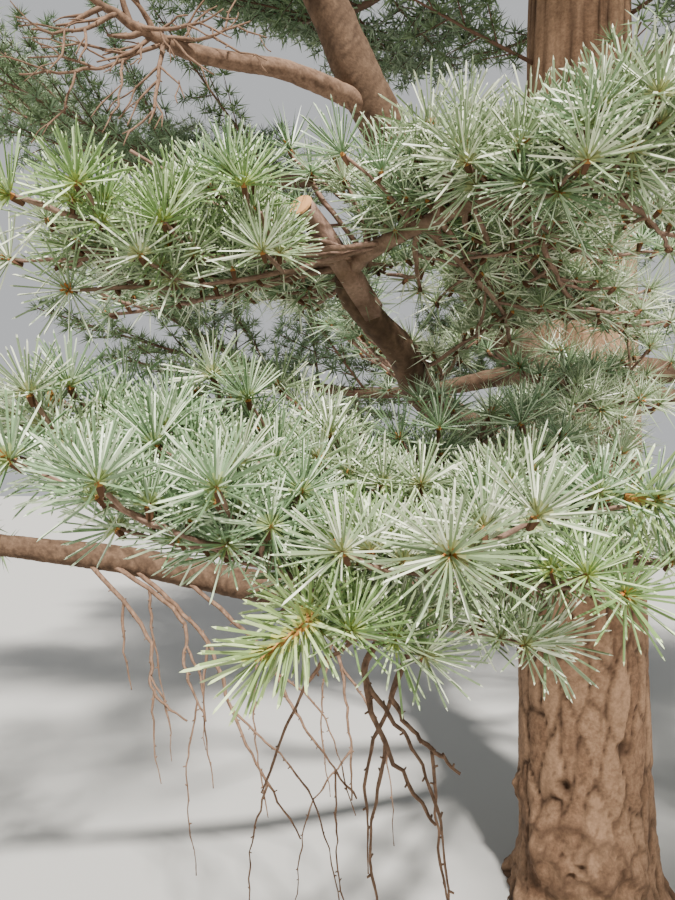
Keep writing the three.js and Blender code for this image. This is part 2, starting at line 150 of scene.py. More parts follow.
# Trunk: old cedar bark, which cracks into tall plates with darker furrows between them.
# The plates stand on the trunk's tapering, slightly wandering round, and the foot flares in five lobes.
HEIGHT = 8.2
TRUNK_TOP = 6.9
STEM_RADIUS = 0.142
STEM_TAPER = 0.8
FLARE = 0.04
FLARE_HEIGHT = 0.045
ROOT_LOBES = 5
LOBE_DEPTH = 0.1
LOBE_HEIGHT = 0.11
SWAY = 0.035
TRUNK_SIDES = 132
FINE_STEP = 0.0072  # between rings, up to the height that the eye sees close by
FINE_HEIGHT = 1.15
COARSE_STEP = 0.08
PLATES_ROUND = 20
PLATE_HEIGHT = 0.13
PLATE_RELIEF = 0.007
KNOTS = [  # height, bearing in degrees, radius, and how far it stands out
    (0.272, 234, 0.014, -0.013), (0.355, 284, 0.015, -0.009), (0.262, 306, 0.012, -0.008),
    (0.225, 172, 0.016, 0.016), (0.62, 228, 0.014, 0.01), (1.02, 275, 0.016, 0.012),
    (0.142, 240, 0.04, 0.026), (0.15, 264, 0.024, 0.018), (0.105, 222, 0.026, 0.018),
    (0.07, 250, 0.03, 0.02), (0.15, 211, 0.022, 0.014), (0.08, 279, 0.03, 0.018),
    (0.13, 293, 0.022, 0.014), (0.158, 245, 0.012, 0.008), (0.13, 233, 0.012, 0.008),
    (0.14, 248, 0.008, -0.012), (0.12, 241, 0.007, -0.012), (0.152, 235, 0.006, -0.01),
]
RIMMED = 0.012  # knots that stand out further have a dark rim
BURL_LUMPS = 0.006
BURL_HEIGHT = 0.1


def trunk_axis(z):
    """The trunk's middle at a height, or at each of an array of heights."""
    z = np.asarray(z, float)
    turn = z / HEIGHT * 2 * math.pi
    settle = np.minimum(1, z / 2.5)
    x = SWAY * np.sin(turn * 0.8) * settle
    y = SWAY * 0.8 * np.sin(turn * 1.1 + 0.6) * settle
    return np.stack([x, y, z], -1)


def trunk_radius(z):
    body = STEM_RADIUS * (1 - z / HEIGHT) ** STEM_TAPER
    return body + FLARE * np.exp(-z / FLARE_HEIGHT)


def scatter(a, b, question=0.0):
    """A repeatable number from 0 to 1 for a pair of numbers and a question about it."""
    wave = np.sin(np.asarray(a) * 12.9898 + np.asarray(b) * 78.233 + question * 37.719) * 43758.5453
    return wave - np.floor(wave)


def cracked(u, v, around):
    """Cells over a surface that closes after a number of cells along u.
    Gives how near each point is to a crack between cells, and a number for its cell."""
    near = np.full(u.shape, 9.0)
    second = np.full(u.shape, 9.0)
    cell = np.zeros(u.shape)
    for i in (-1, 0, 1):
        for j in (-1, 0, 1):
            column = np.floor(u) + i
            row = np.floor(v) + j
            wrapped = column % around
            x = column + 0.5 + 0.8 * (scatter(wrapped, row, 1) - 0.5)
            y = row + 0.5 + 0.8 * (scatter(wrapped, row, 2) - 0.5)
            far = np.hypot(u - x, v - y)
            closer = far < near
            second = np.where(closer, near, np.minimum(second, far))
            cell = np.where(closer, scatter(wrapped, row, 3), cell)
            near = np.minimum(near, far)
    return second - near, cell


def bark_finish(name, plate, worn_and_lit_plate, furrow, grain):
    """Dry bark: dull plates whose tone drifts, darker splits between them, and a flaky grain of a size in
    metres. On the trunk the notes also bring a painted highlight towards the lighter plate colour and
    painted shade towards the dark colour.
    """
    made, tree = new_material(name)
    coords = add_node(tree, "ShaderNodeTexCoord").outputs["Object"]
    crack_and_shade_share = add_node(tree, "ShaderNodeAttribute", attribute_name="furrow").outputs["Fac"]
    tone = add_node(tree, "ShaderNodeAttribute", attribute_name="plate").outputs["Fac"]
    blotches = {"Vector": coords, "Scale": 0.25 / grain, "Detail": 4.0}
    blotch = add_node(tree, "ShaderNodeTexNoise", blotches)
    flaking = {"Vector": coords, "Scale": 1 / grain, "Detail": 5.0, "Roughness": 0.65}
    flakes = add_node(tree, "ShaderNodeTexNoise", flaking)
    mixed = add_node(tree, "ShaderNodeMath", {0: blotch, 1: 1.3, 2: tone}, operation="MULTIPLY_ADD")
    share = add_node(tree, "ShaderNodeMapRange", {"Value": mixed, "From Min": 0.35, "From Max": 1.45})
    tones = {"Factor": share, 6: linear(plate), 7: linear(worn_and_lit_plate)}
    plates = add_node(tree, "ShaderNodeMix", tones, data_type="RGBA")
    span = {"From Min": 0.35, "From Max": 0.7, "To Min": 0.72, "To Max": 1.12}
    speckle = add_node(tree, "ShaderNodeMapRange", {"Value": flakes, **span})
    layers = {"Factor": 1.0, 6: plates.outputs[2], 7: speckle}
    flaked = add_node(tree, "ShaderNodeMix", layers, data_type="RGBA", blend_type="MULTIPLY")
    layers = {"Factor": crack_and_shade_share, 6: flaked.outputs[2], 7: linear(furrow)}
    coloured = add_node(tree, "ShaderNodeMix", layers, data_type="RGBA")
    bump = add_node(tree, "ShaderNodeBump", {"Height": flakes, "Strength": 0.6, "Distance": grain * 0.3})
    values = {"Base Color": coloured.outputs[2], "Roughness": 0.92, "Specular IOR Level": 0.2}
    shader = add_node(tree, "ShaderNodeBsdfPrincipled", {**values, "Normal": bump})
    add_node(tree, "ShaderNodeOutputMaterial", {"Surface": shader})
    return made


def note(mesh, name, kind, values):
    """Keeps a value for each point of a mesh under a name."""
    field = "vector" if kind == "FLOAT_VECTOR" else "value"
    mesh.attributes.new(name, kind, "POINT").data.foreach_set(field, np.ravel(values))


fine_rings = np.arange(0, FINE_HEIGHT, FINE_STEP)
coarse_rings = np.linspace(FINE_HEIGHT, TRUNK_TOP, int((TRUNK_TOP - FINE_HEIGHT) / COARSE_STEP))
ring_heights = np.concatenate([fine_rings, coarse_rings])
turns = np.arange(TRUNK_SIDES) / TRUNK_SIDES * 2 * math.pi
z_grid, turn_grid = np.meshgrid(ring_heights, turns, indexing="ij")
plate_height = PLATE_HEIGHT * (1 - 0.8 * z_grid / HEIGHT)
up_the_bark = np.cumsum(np.gradient(ring_heights))[:, None] / plate_height
u_warp = 0.22 * np.sin(3 * turn_grid + 2.1 * up_the_bark) + 0.12 * np.sin(7 * turn_grid - 5 * up_the_bark)
v_warp = 0.3 * np.sin(5 * turn_grid + 0.7 * up_the_bark) + 0.1 * np.sin(11 * turn_grid + 3 * up_the_bark)
u_grid = turn_grid / (2 * math.pi) * PLATES_ROUND
crack, plate_tone = cracked(u_grid + u_warp, up_the_bark * 0.9 + v_warp, PLATES_ROUND)
flake_crack, _ = cracked(2 * u_grid + 2 * u_warp, up_the_bark * 2.3 + v_warp, 2 * PLATES_ROUND)
plate_rise = np.clip(crack / 0.26, 0, 1) ** 0.6
flake_rise = np.clip(flake_crack / 0.3, 0, 1) ** 0.7
relief_depth = PLATE_RELIEF * (1 - z_grid / HEIGHT) ** 1.2
relief = relief_depth * (plate_rise * (0.8 + 0.5 * plate_tone) + 0.18 * flake_rise - 1.3)
flake_line = 0.45 * np.clip(1 - flake_rise * 1.6, 0, 1)
furrow_and_shade_share = np.maximum(np.clip(1.1 - plate_rise * 1.3, 0, 1), flake_line)
lobes = 1 + LOBE_DEPTH * np.cos(ROOT_LOBES * turn_grid + 1) * np.exp(-z_grid / LOBE_HEIGHT)
round_radius = trunk_radius(z_grid) * lobes
lumps = np.sin(9 * turn_grid + 40 * z_grid) * np.sin(70 * z_grid + 4 * turn_grid)
lumps += 0.6 * np.sin(17 * turn_grid - 90 * z_grid) * np.sin(130 * z_grid + 6 * turn_grid)
burl = np.exp(-z_grid / BURL_HEIGHT)
relief += BURL_LUMPS * burl * lumps
# Painted highlight and painted shade: the burl's raised lumps are painted lighter, and the hollows between
# them darker.
plate_tone = plate_tone + 0.5 * burl * lumps
furrow_and_shade_share = np.maximum(furrow_and_shade_share, np.clip(-0.5 - lumps, 0, 1) * burl)
for knot_height, knot_bearing, knot_size, knot_rise in KNOTS:
    aside = (turn_grid - math.radians(knot_bearing) + math.pi) % (2 * math.pi) - math.pi
    away = np.hypot(aside * round_radius, z_grid - knot_height) / knot_size
    lip = 0.45 * abs(knot_rise) * np.exp(-((away - 1.5) ** 2) / 0.3)
    relief += knot_rise * np.exp(-(away**2)) + lip
    if knot_rise > RIMMED:
        rim = 0.75 * np.exp(-((away - 1.45) ** 2) / 0.06)
        furrow_and_shade_share = np.maximum(furrow_and_shade_share * (1 - 0.6 * np.exp(-(away**2))), rim)
    # Painted shade: sunken knots are painted dark inside their hollow.
    if knot_rise < 0:
        furrow_and_shade_share = np.maximum(furrow_and_shade_share, np.exp(-(away**2) / 1.2))
bark_radius = round_radius + relief
outward = np.stack([np.cos(turn_grid), np.sin(turn_grid), np.zeros_like(turn_grid)], -1)
trunk_points = (trunk_axis(z_grid) + outward * bark_radius[..., None]).reshape(-1, 3)


def tube_faces(rings, sides):
    """The faces of a tube of rings of points, closed at both ends."""
    ring, side = np.meshgrid(np.arange(rings - 1), np.arange(sides), indexing="ij")
    onward = (side + 1) % sides
    low, high = ring * sides, (ring + 1) * sides
    walls = np.stack([low + side, low + onward, high + onward, high + side], -1).reshape(-1, 4)
    foot = list(range(sides))[::-1]
    head = list(range((rings - 1) * sides, rings * sides))
    return [*walls.tolist(), foot, head]


old_bark = bark_finish("old cedar bark", "#654B38", "#92745B", "#37271C", 0.006)
trunk = mesh_object("trunk_bark", trunk_points, tube_faces(len(ring_heights), TRUNK_SIDES), old_bark)
note(trunk.data, "furrow", "FLOAT", furrow_and_shade_share)
note(trunk.data, "plate", "FLOAT", plate_tone)
trunk.data.shade_smooth()
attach(trunk, "root")
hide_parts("trunk")

# Boughs: each a tapering limb with thin scaly bark, that swells into a collar where it leaves the trunk.
# They follow smooth lines through a few points, and their scales stand up from the limb's round.
CROWN_REACH = 2.45
CROWN_TAPER = 0.85
WIDEST = 2.0
LOW_RISE = 12
HIGH_RISE = 42
SAG = 0.1
TIP_LIFT = 0.07
SIDE_SWAY = 0.035
TIERS = [  # root height, and the bearings of its boughs in degrees from +X
    (1.15, (335, 28, 82, 136)),
    (1.8, (2, 74, 146, 296)),
    (2.48, (36, 118, 206, 322)),
    (3.15, (80, 162, 252, 350)),
    (3.85, (32, 122, 208, 300)),
    (4.5, (72, 168, 254, 346)),
    (5.15, (20, 140, 262)),
    (5.75, (80, 200, 322)),
    (6.35, (24, 144, 264)),
]
LOWEST_REACH = 1.85
BARE_TIERS = 3  # the lowest tiers, whose boughs show bare as far as BARE_SHARE
BARE_SHARE = 0.32
ROOT_JITTER = 0.13
UP = np.array([0.0, 0.0, 1.0])
COLLAR = 0.35  # how much wider a bough is at the trunk
COLLAR_LENGTH = 0.05


def unit(v):
    """Each vector of an array, at length one."""
    v = np.asarray(v, float)
    return v / np.linalg.norm(v, axis=-1, keepdims=True)


def mix(a, b, share):
    return a + (b - a) * share


class Line:
    """A smooth line through points, of cubic pieces that form no loops, from share 0 to 1."""

    def __init__(self, points, start=0.0, end=1.0):
        self.points = np.asarray(points, float)
        self.start = start
        self.end = end

    def at(self, share):
        share = self.start + (self.end - self.start) * np.asarray(share, float)
        last = len(self.points) - 1
        before = 2 * self.points[0] - self.points[1]
        after = 2 * self.points[-1] - self.points[-2]
        padded = np.concatenate([[before], self.points, [after]])
        piece = np.clip(np.floor(share * last).astype(int), 0, last - 1)
        w = (share * last - piece)[..., None]
        p0, p1, p2, p3 = (padded[piece + k] for k in range(4))
        d0, d1, d2 = (
            np.maximum(np.linalg.norm(b - a, axis=-1, keepdims=True) ** 0.5, 1e-4)
            for a, b in ((p0, p1), (p1, p2), (p2, p3))
        )
        leave = ((p1 - p0) / d0 - (p2 - p0) / (d0 + d1) + (p2 - p1) / d1) * d1
        arrive = ((p2 - p1) / d1 - (p3 - p1) / (d1 + d2) + (p3 - p2) / d2) * d1
        square = -3 * p1 + 3 * p2 - 2 * leave - arrive
        cube = 2 * p1 - 2 * p2 + leave + arrive
        return p1 + leave * w + square * w**2 + cube * w**3

    def along(self, share):
        share = np.asarray(share, float)
        return unit(self.at(np.minimum(share + 1e-3, 1)) - self.at(np.maximum(share - 1e-3, 0)))

    def length(self):
        run = self.at(np.linspace(0, 1, 60))
        return float(np.linalg.norm(np.diff(run, axis=0), axis=1).sum())

    def part(self, start, end):
        return Line(self.points, mix(self.start, self.end, start), mix(self.start, self.end, end))


def crown_reach(height):
    return CROWN_REACH * min(1, (HEIGHT - height) / (HEIGHT - WIDEST)) ** CROWN_TAPER


def bough_line(height, bearing, reach, seed):
    """The line that a bough and its foliage follow, from the trunk's middle to the furthest tip."""
    low, high = TIERS[0][0], TIERS[-1][0]
    share = min(1, max(0, (height - low) / (high - low)))
    rise = math.tan(math.radians(mix(LOW_RISE, HIGH_RISE, share)))
    s = np.linspace(0, 1, 9)[:, None]
    out = np.array([math.cos(math.radians(bearing)), math.sin(math.radians(bearing)), 0])
    side = np.cross(UP, out)
    sway = SIDE_SWAY * np.sin(s * 5 + seed) * s
    climb = rise * s - SAG * np.sin(math.pi * s) + TIP_LIFT * s**3
    return Line(trunk_axis(height) + reach * (out * s + side * sway + UP * climb))


def named_inputs(name, sockets):
    """A new geometry tree with a mesh in, a mesh out and more inputs, each a name and a kind."""
    tree = bpy.data.node_groups.new(name, "GeometryNodeTree")
    for label, kind in {"Geometry": "Geometry", **sockets}.items():
        tree.interface.new_socket(label, in_out="INPUT", socket_type="NodeSocket" + kind)
    tree.interface.new_socket("Geometry", in_out="OUTPUT", socket_type="NodeSocketGeometry")
    return tree, tree.nodes.new("NodeGroupInput").outputs


def swept(tree, curve, sides, closed):
    """A tube of a number of sides round each curve, as wide as the radius noted at each point."""
    width = add_node(tree, "GeometryNodeInputNamedAttribute", {"Name": "radius"}, data_type="FLOAT")
    ring = add_node(tree, "GeometryNodeCurvePrimitiveCircle", {"Resolution": sides, "Radius": 1.0})
    inputs = {"Curve": curve, "Profile Curve": ring, "Scale": width, "Fill Caps": closed}
    return add_node(tree, "GeometryNodeCurveToMesh", inputs)


def finish_tree(tree, shape, material):
    """Ends a tree with its instances made real and its material set."""
    real = add_node(tree, "GeometryNodeRealizeInstances", {"Geometry": shape})
    dressed = add_node(tree, "GeometryNodeSetMaterial", {"Geometry": real, "Material": material})
    add_node(tree, "NodeGroupOutput", {"Geometry": dressed})
    return tree


def limb_tree():
    """Turns lines with a radius at each point into round limbs with scales of bark on them."""
    sockets = {"Sides": "Int", "Step": "Float", "Scale size": "Float", "Relief": "Float"}
    tree, given = named_inputs("limb", {**sockets, "Bark": "Material"})
    curve = add_node(tree, "GeometryNodeMeshToCurve", {0: given["Geometry"]})
    even = {"Curve": curve, "Length": given["Step"]}
    curve = add_node(tree, "GeometryNodeResampleCurve", even, mode="LENGTH")
    tube = swept(tree, curve, given["Sides"], True)
    fineness = add_node(tree, "ShaderNodeMath", {0: 1.0, 1: given["Scale size"]}, operation="DIVIDE")
    cells = {"Scale": fineness, "Randomness": 1.0}
    scales = add_node(tree, "ShaderNodeTexVoronoi", cells, feature="DISTANCE_TO_EDGE")
    tones = add_node(tree, "ShaderNodeTexVoronoi", {"Scale": fineness})
    edge = scales.outputs["Distance"]
    lumps = add_node(tree, "ShaderNodeTexNoise", {"Scale": 28.0, "Detail": 2.0})
    span = {"From Max": 0.14, "To Min": -0.6, "To Max": 0.4}
    rise = add_node(tree, "ShaderNodeMapRange", {"Value": edge, **span})
    span = {"From Min": 0.3, "From Max": 0.7, "To Min": -1.4, "To Max": 0.6}
    swell = add_node(tree, "ShaderNodeMapRange", {"Value": lumps, **span})
    both = add_node(tree, "ShaderNodeMath", {0: rise, 1: swell}, operation="ADD")
    high = add_node(tree, "ShaderNodeMath", {0: both, 1: given["Relief"]}, operation="MULTIPLY")
    normal = add_node(tree, "GeometryNodeInputNormal")
    push = add_node(tree, "ShaderNodeVectorMath", {0: normal, "Scale": high}, operation="SCALE")
    span = {"From Max": 0.1, "To Min": 0.55, "To Max": 0.0}
    crack_share = add_node(tree, "ShaderNodeMapRange", {"Value": edge, **span})
    shape = tube
    for label, value in (("furrow", crack_share), ("plate", tones.outputs["Color"])):
        inputs = {"Geometry": shape, "Name": label, "Value": value}
        kind = {"data_type": "FLOAT", "domain": "POINT"}
        shape = add_node(tree, "GeometryNodeStoreNamedAttribute", inputs, **kind)
    shaped = add_node(tree, "GeometryNodeSetPosition", {"Geometry": shape, "Offset": push})
    return finish_tree(tree, shaped, given["Bark"])


def grow(name, mesh, tree, values, keep=("furrow", "plate")):
    """Runs a geometry tree on a mesh and gives the result as a plain mesh at the origin."""
    holder = bpy.data.objects.new(name + "_rule", mesh)
    bpy.context.scene.collection.objects.link(holder)
    rule = holder.modifiers.new("rule", "NODES")
    rule.node_group = tree
    for item in tree.interface.items_tree:
        if item.item_type == "SOCKET" and item.in_out == "INPUT" and item.name in values:
            rule[item.identifier] = values[item.name]
    ready = holder.evaluated_get(bpy.context.evaluated_depsgraph_get())
    made = bpy.data.meshes.new_from_object(ready)
    bpy.data.objects.remove(holder)
    kept = (*keep, "sharp_face", "material_index")
    noted = [a for a in made.attributes if not (a.is_required or a.is_internal)]
    for spare in [a.name for a in noted if a.name not in kept]:
        made.attributes.remove(made.attributes[spare])
    piece = bpy.data.objects.new(name, made)
    bpy.context.scene.collection.objects.link(piece)
    return piece


def lines_mesh(name, runs):
    """A mesh of open lines, from pairs of points and the radius at each."""
    mesh = bpy.data.meshes.new(name)
    points = np.concatenate([run for run, _ in runs])
    counts = np.array([len(run) for run, _ in runs])
    starts = np.cumsum(counts) - counts
    first = np.concatenate([np.arange(a, a + n - 1) for a, n in zip(starts, counts)])
    mesh.vertices.add(len(points))
    mesh.vertices.foreach_set("co", points.ravel())
    mesh.edges.add(len(first))
    mesh.edges.foreach_set("vertices", np.stack([first, first + 1], 1).ravel())
    note(mesh, "radius", "FLOAT", np.concatenate([radii for _, radii in runs]))
    return mesh


def limb_run(line, root, tip, collar=True):
    """A bough's line with the radius at each point."""
    s = np.linspace(0, 1, max(8, int(line.length() / 0.02)))
    points = line.at(s)
    radii = mix(root, tip, s)
    if collar:
        far = np.linalg.norm(points[:, :2] - trunk_axis(points[:, 2])[:, :2], axis=1)
        beyond = np.maximum(0, far - trunk_radius(points[:, 2]))
        radii = radii * (1 + COLLAR * np.exp(-beyond / COLLAR_LENGTH))
    return points, radii


limb_rule = limb_tree()
young_bark = bark_finish("young cedar bark", "#473629", "#665140", "#261B14", 0.004)
masses = []  # every mass: its stem, root radius, spread, seed and whether it starts at the trunk
tier_runs = []
tier_nodes = []
for level, (tier_height, bearings) in enumerate(TIERS):
    for i, bearing in enumerate(bearings):
        seed = level * 10 + i + 1
        height = tier_height + ROOT_JITTER * (scatter(seed, 3) - 0.5)
        reach = crown_reach(tier_height) if level else LOWEST_REACH
        reach *= mix(0.92, 1.05, scatter(seed, 5))
        line = bough_line(height, bearing, reach, seed)
        root = 0.006 + 0.012 * reach
        name = f"foliage_{level + 1}_{i + 1}"
        if level < BARE_TIERS:
            tier_runs.append(limb_run(line.part(0, BARE_SHARE), root, root * 0.6))
            tier_nodes.append(f"bough_{level + 1}_{i + 1}")
            masses.append((name, line.part(BARE_SHARE, 1), root * 0.6, 0.5 * reach, seed, False))
        else:
            masses.append((name, line, root, 0.575 * reach, seed, True))

limb_values = {"Sides": 16, "Step": 0.014, "Scale size": 0.016, "Relief": 0.0012, "Bark": young_bark}
tier_boughs = grow("tier_boughs", lines_mesh("tier_boughs", tier_runs), limb_rule, limb_values)
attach(tier_boughs, "root")
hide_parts(*tier_nodes)

# Low boughs: the five limbs that the eye sees close by, so their scales are finer.
# Each follows its own few points, and the bare one is dead and leaves the steep one's side.
front_points = [(520, 500, 0.62), (440, 505, 0.46), (350, 560, 0.36), (225, 655, 0.275)]
front_line = Line([trunk_axis(0.77), (-0.19, -0.48, 0.815), *(seen(*p) for p in front_points)])
upper_points = [
    (430, 400, 0.6), (400, 350, 0.5), (348, 275, 0.425),
    (450, 212, 0.37), (560, 180, 0.34), (700, 130, 0.31),
]
upper_line = Line([trunk_axis(0.9), *(seen(*p) for p in upper_points)])
steep_past = [(-0.72, -0.68, 1.83), (-1.05, -1.0, 2.02), (-1.39, -1.33, 2.16)]
steep_line = Line([trunk_axis(0.96), seen(375, 110, 1.05), seen(325, 0, 1.0), *steep_past])
bare_points = [(375, 110, 1.05), (290, 72, 0.95), (180, 48, 0.86), (60, -20, 0.79)]
bare_line = Line([seen(*p) for p in bare_points])
low_points = [(290, 590, 1.2), (125, 560, 1.1), (0, 545, 1.05)]
low_past = [(-1.4, -0.56, 0.85), (-1.8, -0.72, 0.93)]
low_line = Line([trunk_axis(0.64), *(seen(*p) for p in low_points), *low_past])
LOW_BOUGHS = {  # line, the share of it that is bough, root radius, tip radius, starts at the trunk
    "bough_front": (front_line, 0.5, 0.02, 0.009, True),
    "bough_upper": (upper_line, 0.5, 0.019, 0.008, True),
    "bough_steep": (steep_line, 0.6, 0.042, 0.024, True),
    "bough_bare": (bare_line, 0.7, 0.017, 0.01, False),
    "bough_low": (low_line, 0.6, 0.034, 0.017, True),
}
dead_bark = bark_finish("weathered dead bark", "#5F4838", "#836956", "#302219", 0.003)
low_values = {"Sides": 22, "Step": 0.006, "Scale size": 0.012, "Relief": 0.0008}
for node, (line, share, root, tip, collar) in LOW_BOUGHS.items():
    run = limb_run(line.part(0, share), root, tip, collar)
    bark = dead_bark if node == "bough_bare" else young_bark
    limb = grow(node + "_bark", lines_mesh(node, [run]), limb_rule, {**low_values, "Bark": bark})
    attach(limb, "root")
    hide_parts(node)

masses.append(("foliage_steep", steep_line.part(0.6, 1), 0.024, 0.76, 31, False))
masses.append(("foliage_low", low_line.part(0.6, 1), 0.017, 0.56, 47, False))

# Stems and twigs of the foliage: thin brown shoots that branch left and right in flat sprays.
# Side shoots leave the stem by the same rule all over the crown, and bear shorter ones by turns.
SHOOT_ANGLE = 54
LAST_SHOOT_ANGLE = 36
SHOOT_STEP = 0.066  # along the stem, between a shoot and the next one on the other side
LEAST_SHOOT = 0.12
TWIG_STEP = 0.043
TWIG_REACH = 0.33  # longest twig, as a share of its shoot
LEAST_TWIG = 0.05
TUFT_STEP = 0.045
TWIG_RADIUS = 0.0022
TWIG_TIP = 0.0011
FINE_BELOW = 2.2  # the height up to which boughs bear the finer needles
TRUNK_ROOM = 0.02
GROUND_ROOM = 0.06


def blade_width(u):
    """How wide a spray is along its shoot, from 0 to 1."""
    return np.sin(math.pi * np.clip(u, 0, 1) ** 0.75) ** 0.8


def clear_of_trunk(points):
    aside = np.linalg.norm(points[..., :2] - trunk_axis(points[..., 2])[..., :2], axis=-1)
    return aside > trunk_radius(np.clip(points[..., 2], 0, HEIGHT - 0.01)) + TRUNK_ROOM


shoot_runs = []
twig_runs = []
tufts = {"fine": [], "plain": []}  # rows of place, aim, size and spray tint; fine on the low tiers


def side_way(along, k, degrees, lift):
    """The way of a side shoot: left or right by turns, at an angle to its stem, and lifted."""
    flat = unit(np.cross(UP, along)) * (1 if k % 2 else -1)
    angle = math.radians(degrees)
    return unit(along * math.cos(angle) + flat * math.sin(angle) + UP * lift)


def deal_tint(place, seed):
    """Which of five tints a spray takes: deep inside and below, which is painted shade as well as the older
    needles' own colour, pale outside and above, where the new growth is.
    """
    out = np.linalg.norm(place[:2]) / max(0.3, crown_reach(min(place[2], HEIGHT - 0.2)))
    value = 0.62 * out + 0.22 * place[2] / HEIGHT + 0.45 * (scatter(seed, 77) - 0.4)
    return int(np.clip(value * 5, 0, 4))


def add_tufts(places, along, tint, seed, tip_aim, look):
    """Tufts on short spurs round a twig, with one at its tip."""
    k = np.arange(len(places))
    side = unit(np.cross(along, UP + 0.01))
    over = np.cross(side, along)
    turn = 2 * math.pi * scatter(seed, k + 300)
    spur = side * np.cos(turn)[:, None] + over * np.sin(turn)[:, None]
    aims = unit(spur * 0.8 + UP * 0.75 + along * 0.35)
    aims[-1] = unit(tip_aim + 0.15 * UP)
    sizes = mix(0.8, 1.15, scatter(seed, k + 500))
    keep = clear_of_trunk(places) & (places[:, 2] > GROUND_ROOM)
    for p, a, s in zip(places[keep], aims[keep], sizes[keep]):
        tufts[look].append((*p, *a, s, tint))


def add_spray(root, way, length, seed, root_radius, droop, look):
    """One side shoot: a gently curved twig with shorter ones left and right, and tufts on all of them."""
    s = np.linspace(0, 1, 6)[:, None]
    bend = unit(np.cross(way, UP)) * (scatter(seed, 61) - 0.5) * 0.12
    path = root + way * length * s + (bend + UP * droop) * length * s**2
    if not clear_of_trunk(path[-1]):
        return
    tint = deal_tint(path[3], seed)
    shoot_runs.append((path, mix(root_radius, TWIG_RADIUS, s[:, 0])))
    line = Line(path)
    count = max(2, int(length / TWIG_STEP))
    for j in range(count):
        u = mix(0.1, 0.95, (j + 0.5) / count)
        key = seed * 7 + j
        reach = TWIG_REACH * length * blade_width(u) * mix(0.75, 1.15, scatter(key, 3))
        aim = side_way(line.along(u), j, mix(58, 40, u), mix(-0.3, 0.42, scatter(key, 9)))
        base = line.at(u)
        tip = base + aim * max(reach, LEAST_TWIG)
        if not clear_of_trunk(tip):
            continue
        twig_runs.append((np.stack([base, tip]), np.array([TWIG_RADIUS, TWIG_TIP])))
        steps = max(1, int(reach / TUFT_STEP))
        places = base + (tip - base) * ((np.arange(steps) + 1) / steps)[:, None]
        add_tufts(places, np.repeat(aim[None], steps, 0), tint, key, aim, look)
    w = np.linspace(0.12, 1, max(2, int(length / (1.3 * TUFT_STEP))))
    add_tufts(line.at(w), line.along(w), tint, seed * 7 + 999, line.along(1.0), look)


def add_mass(stem, root_radius, spread, seed, on_trunk, look):
    """A mass of foliage on its stem, by the same rule as its solid but with many finer shoots."""
    s = np.linspace(0, 1, 14)
    end = stem.along(1.0)
    path = np.concatenate([stem.at(s), [stem.at(1.0) + end * 0.2 * 0.6 * spread]])
    shoot_runs.append((path, np.append(mix(root_radius, 0.005, s), 0.002)))
    start = 0.13 if on_trunk else 0.02
    count = int(stem.length() * (0.97 - start) / SHOOT_STEP)
    for i in range(count):
        t = mix(start, 0.97, i / (count - 1))
        key = seed * 100 + i
        degrees = mix(SHOOT_ANGLE, LAST_SHOOT_ANGLE, t) + 14 * (scatter(key, 1) - 0.5)
        tilt = math.radians(mix(-12, 28, scatter(key, 21)))
        way = side_way(stem.along(t), i, degrees, math.sin(tilt))
        opening = min(1, (t + 0.12) / 0.3) ** 0.6
        length = spread * opening * (1 - t) ** 0.5 * mix(0.78, 1.08, scatter(key, 41))
        if i % 3 == 1:
            length *= 0.66
            way = unit(way + UP * mix(0.45, 1.0, scatter(key, 51)))
        root = 0.0028 + 0.0035 * length
        add_spray(stem.at(t), way, max(length, LEAST_SHOOT), key, root, 0.05, look)
    w = np.linspace(0.3 if on_trunk else 0.06, 1, max(3, int(stem.length() / TUFT_STEP)))
    add_tufts(stem.at(w), stem.along(w), deal_tint(stem.at(0.6), seed), seed, end, look)
    add_tufts(path[-1:], end[None], deal_tint(stem.at(0.9), seed), seed, end, look)


def look_at_height(z):
    return "fine" if z < FINE_BELOW else "plain"


for _, stem, root_radius, spread, seed, on_trunk in masses:
    add_mass(stem, root_radius, spread, seed, on_trunk, look_at_height(stem.at(0.0)[2]))

# Short shoots on the trunk between the tiers, turned a golden angle from one to the next.
GOLDEN_ANGLE = 137.5
INNER_FROM = 1.5
INNER_STEP = 0.085
for i, z in enumerate(np.arange(INNER_FROM, TRUNK_TOP, INNER_STEP)):
    bearing = math.radians(i * GOLDEN_ANGLE)
    out = np.array([math.cos(bearing), math.sin(bearing), 0])
    length = crown_reach(z) * mix(0.22, 0.42, scatter(i, 91)) * min(1, z / 2.8) ** 2
    way = unit(out + UP * mix(0.25, 0.8, z / HEIGHT))
    root = trunk_axis(z) + out * trunk_radius(z) * 0.9
    add_spray(root, way, length, 8000 + i, 0.006, 0.06, look_at_height(z))

# Leader: the trunk's own line carried on to the tip, with short shoots all round it.
LEADER_SHOOTS = 34
leader_line = Line([trunk_axis(TRUNK_TOP - 0.02), trunk_axis(7.5), trunk_axis(HEIGHT - 0.03)])
leader_share = np.linspace(0, 1, 24)
leader_radii = mix(float(trunk_radius(TRUNK_TOP)), 0.003, leader_share**0.9)
shoot_runs.append((leader_line.at(leader_share), leader_radii))
for i in range(LEADER_SHOOTS):
    t = mix(0.03, 0.93, i / (LEADER_SHOOTS - 1))
    bearing = math.radians(i * GOLDEN_ANGLE)
    length = mix(0.62, 0.12, t**0.8) * mix(0.8, 1.05, scatter(i, 8))
    way = unit([math.cos(bearing), math.sin(bearing), mix(0.7, 1.4, t)])
    add_spray(leader_line.at(t), way, length, 9000 + i, 0.005, 0.08, "plain")
w = np.linspace(0.3, 1, 30)
add_tufts(leader_line.at(w), leader_line.along(w), 4, 9100, UP, "plain")

foliage_nodes = [mass[0] for mass in masses] + ["foliage_leader"]


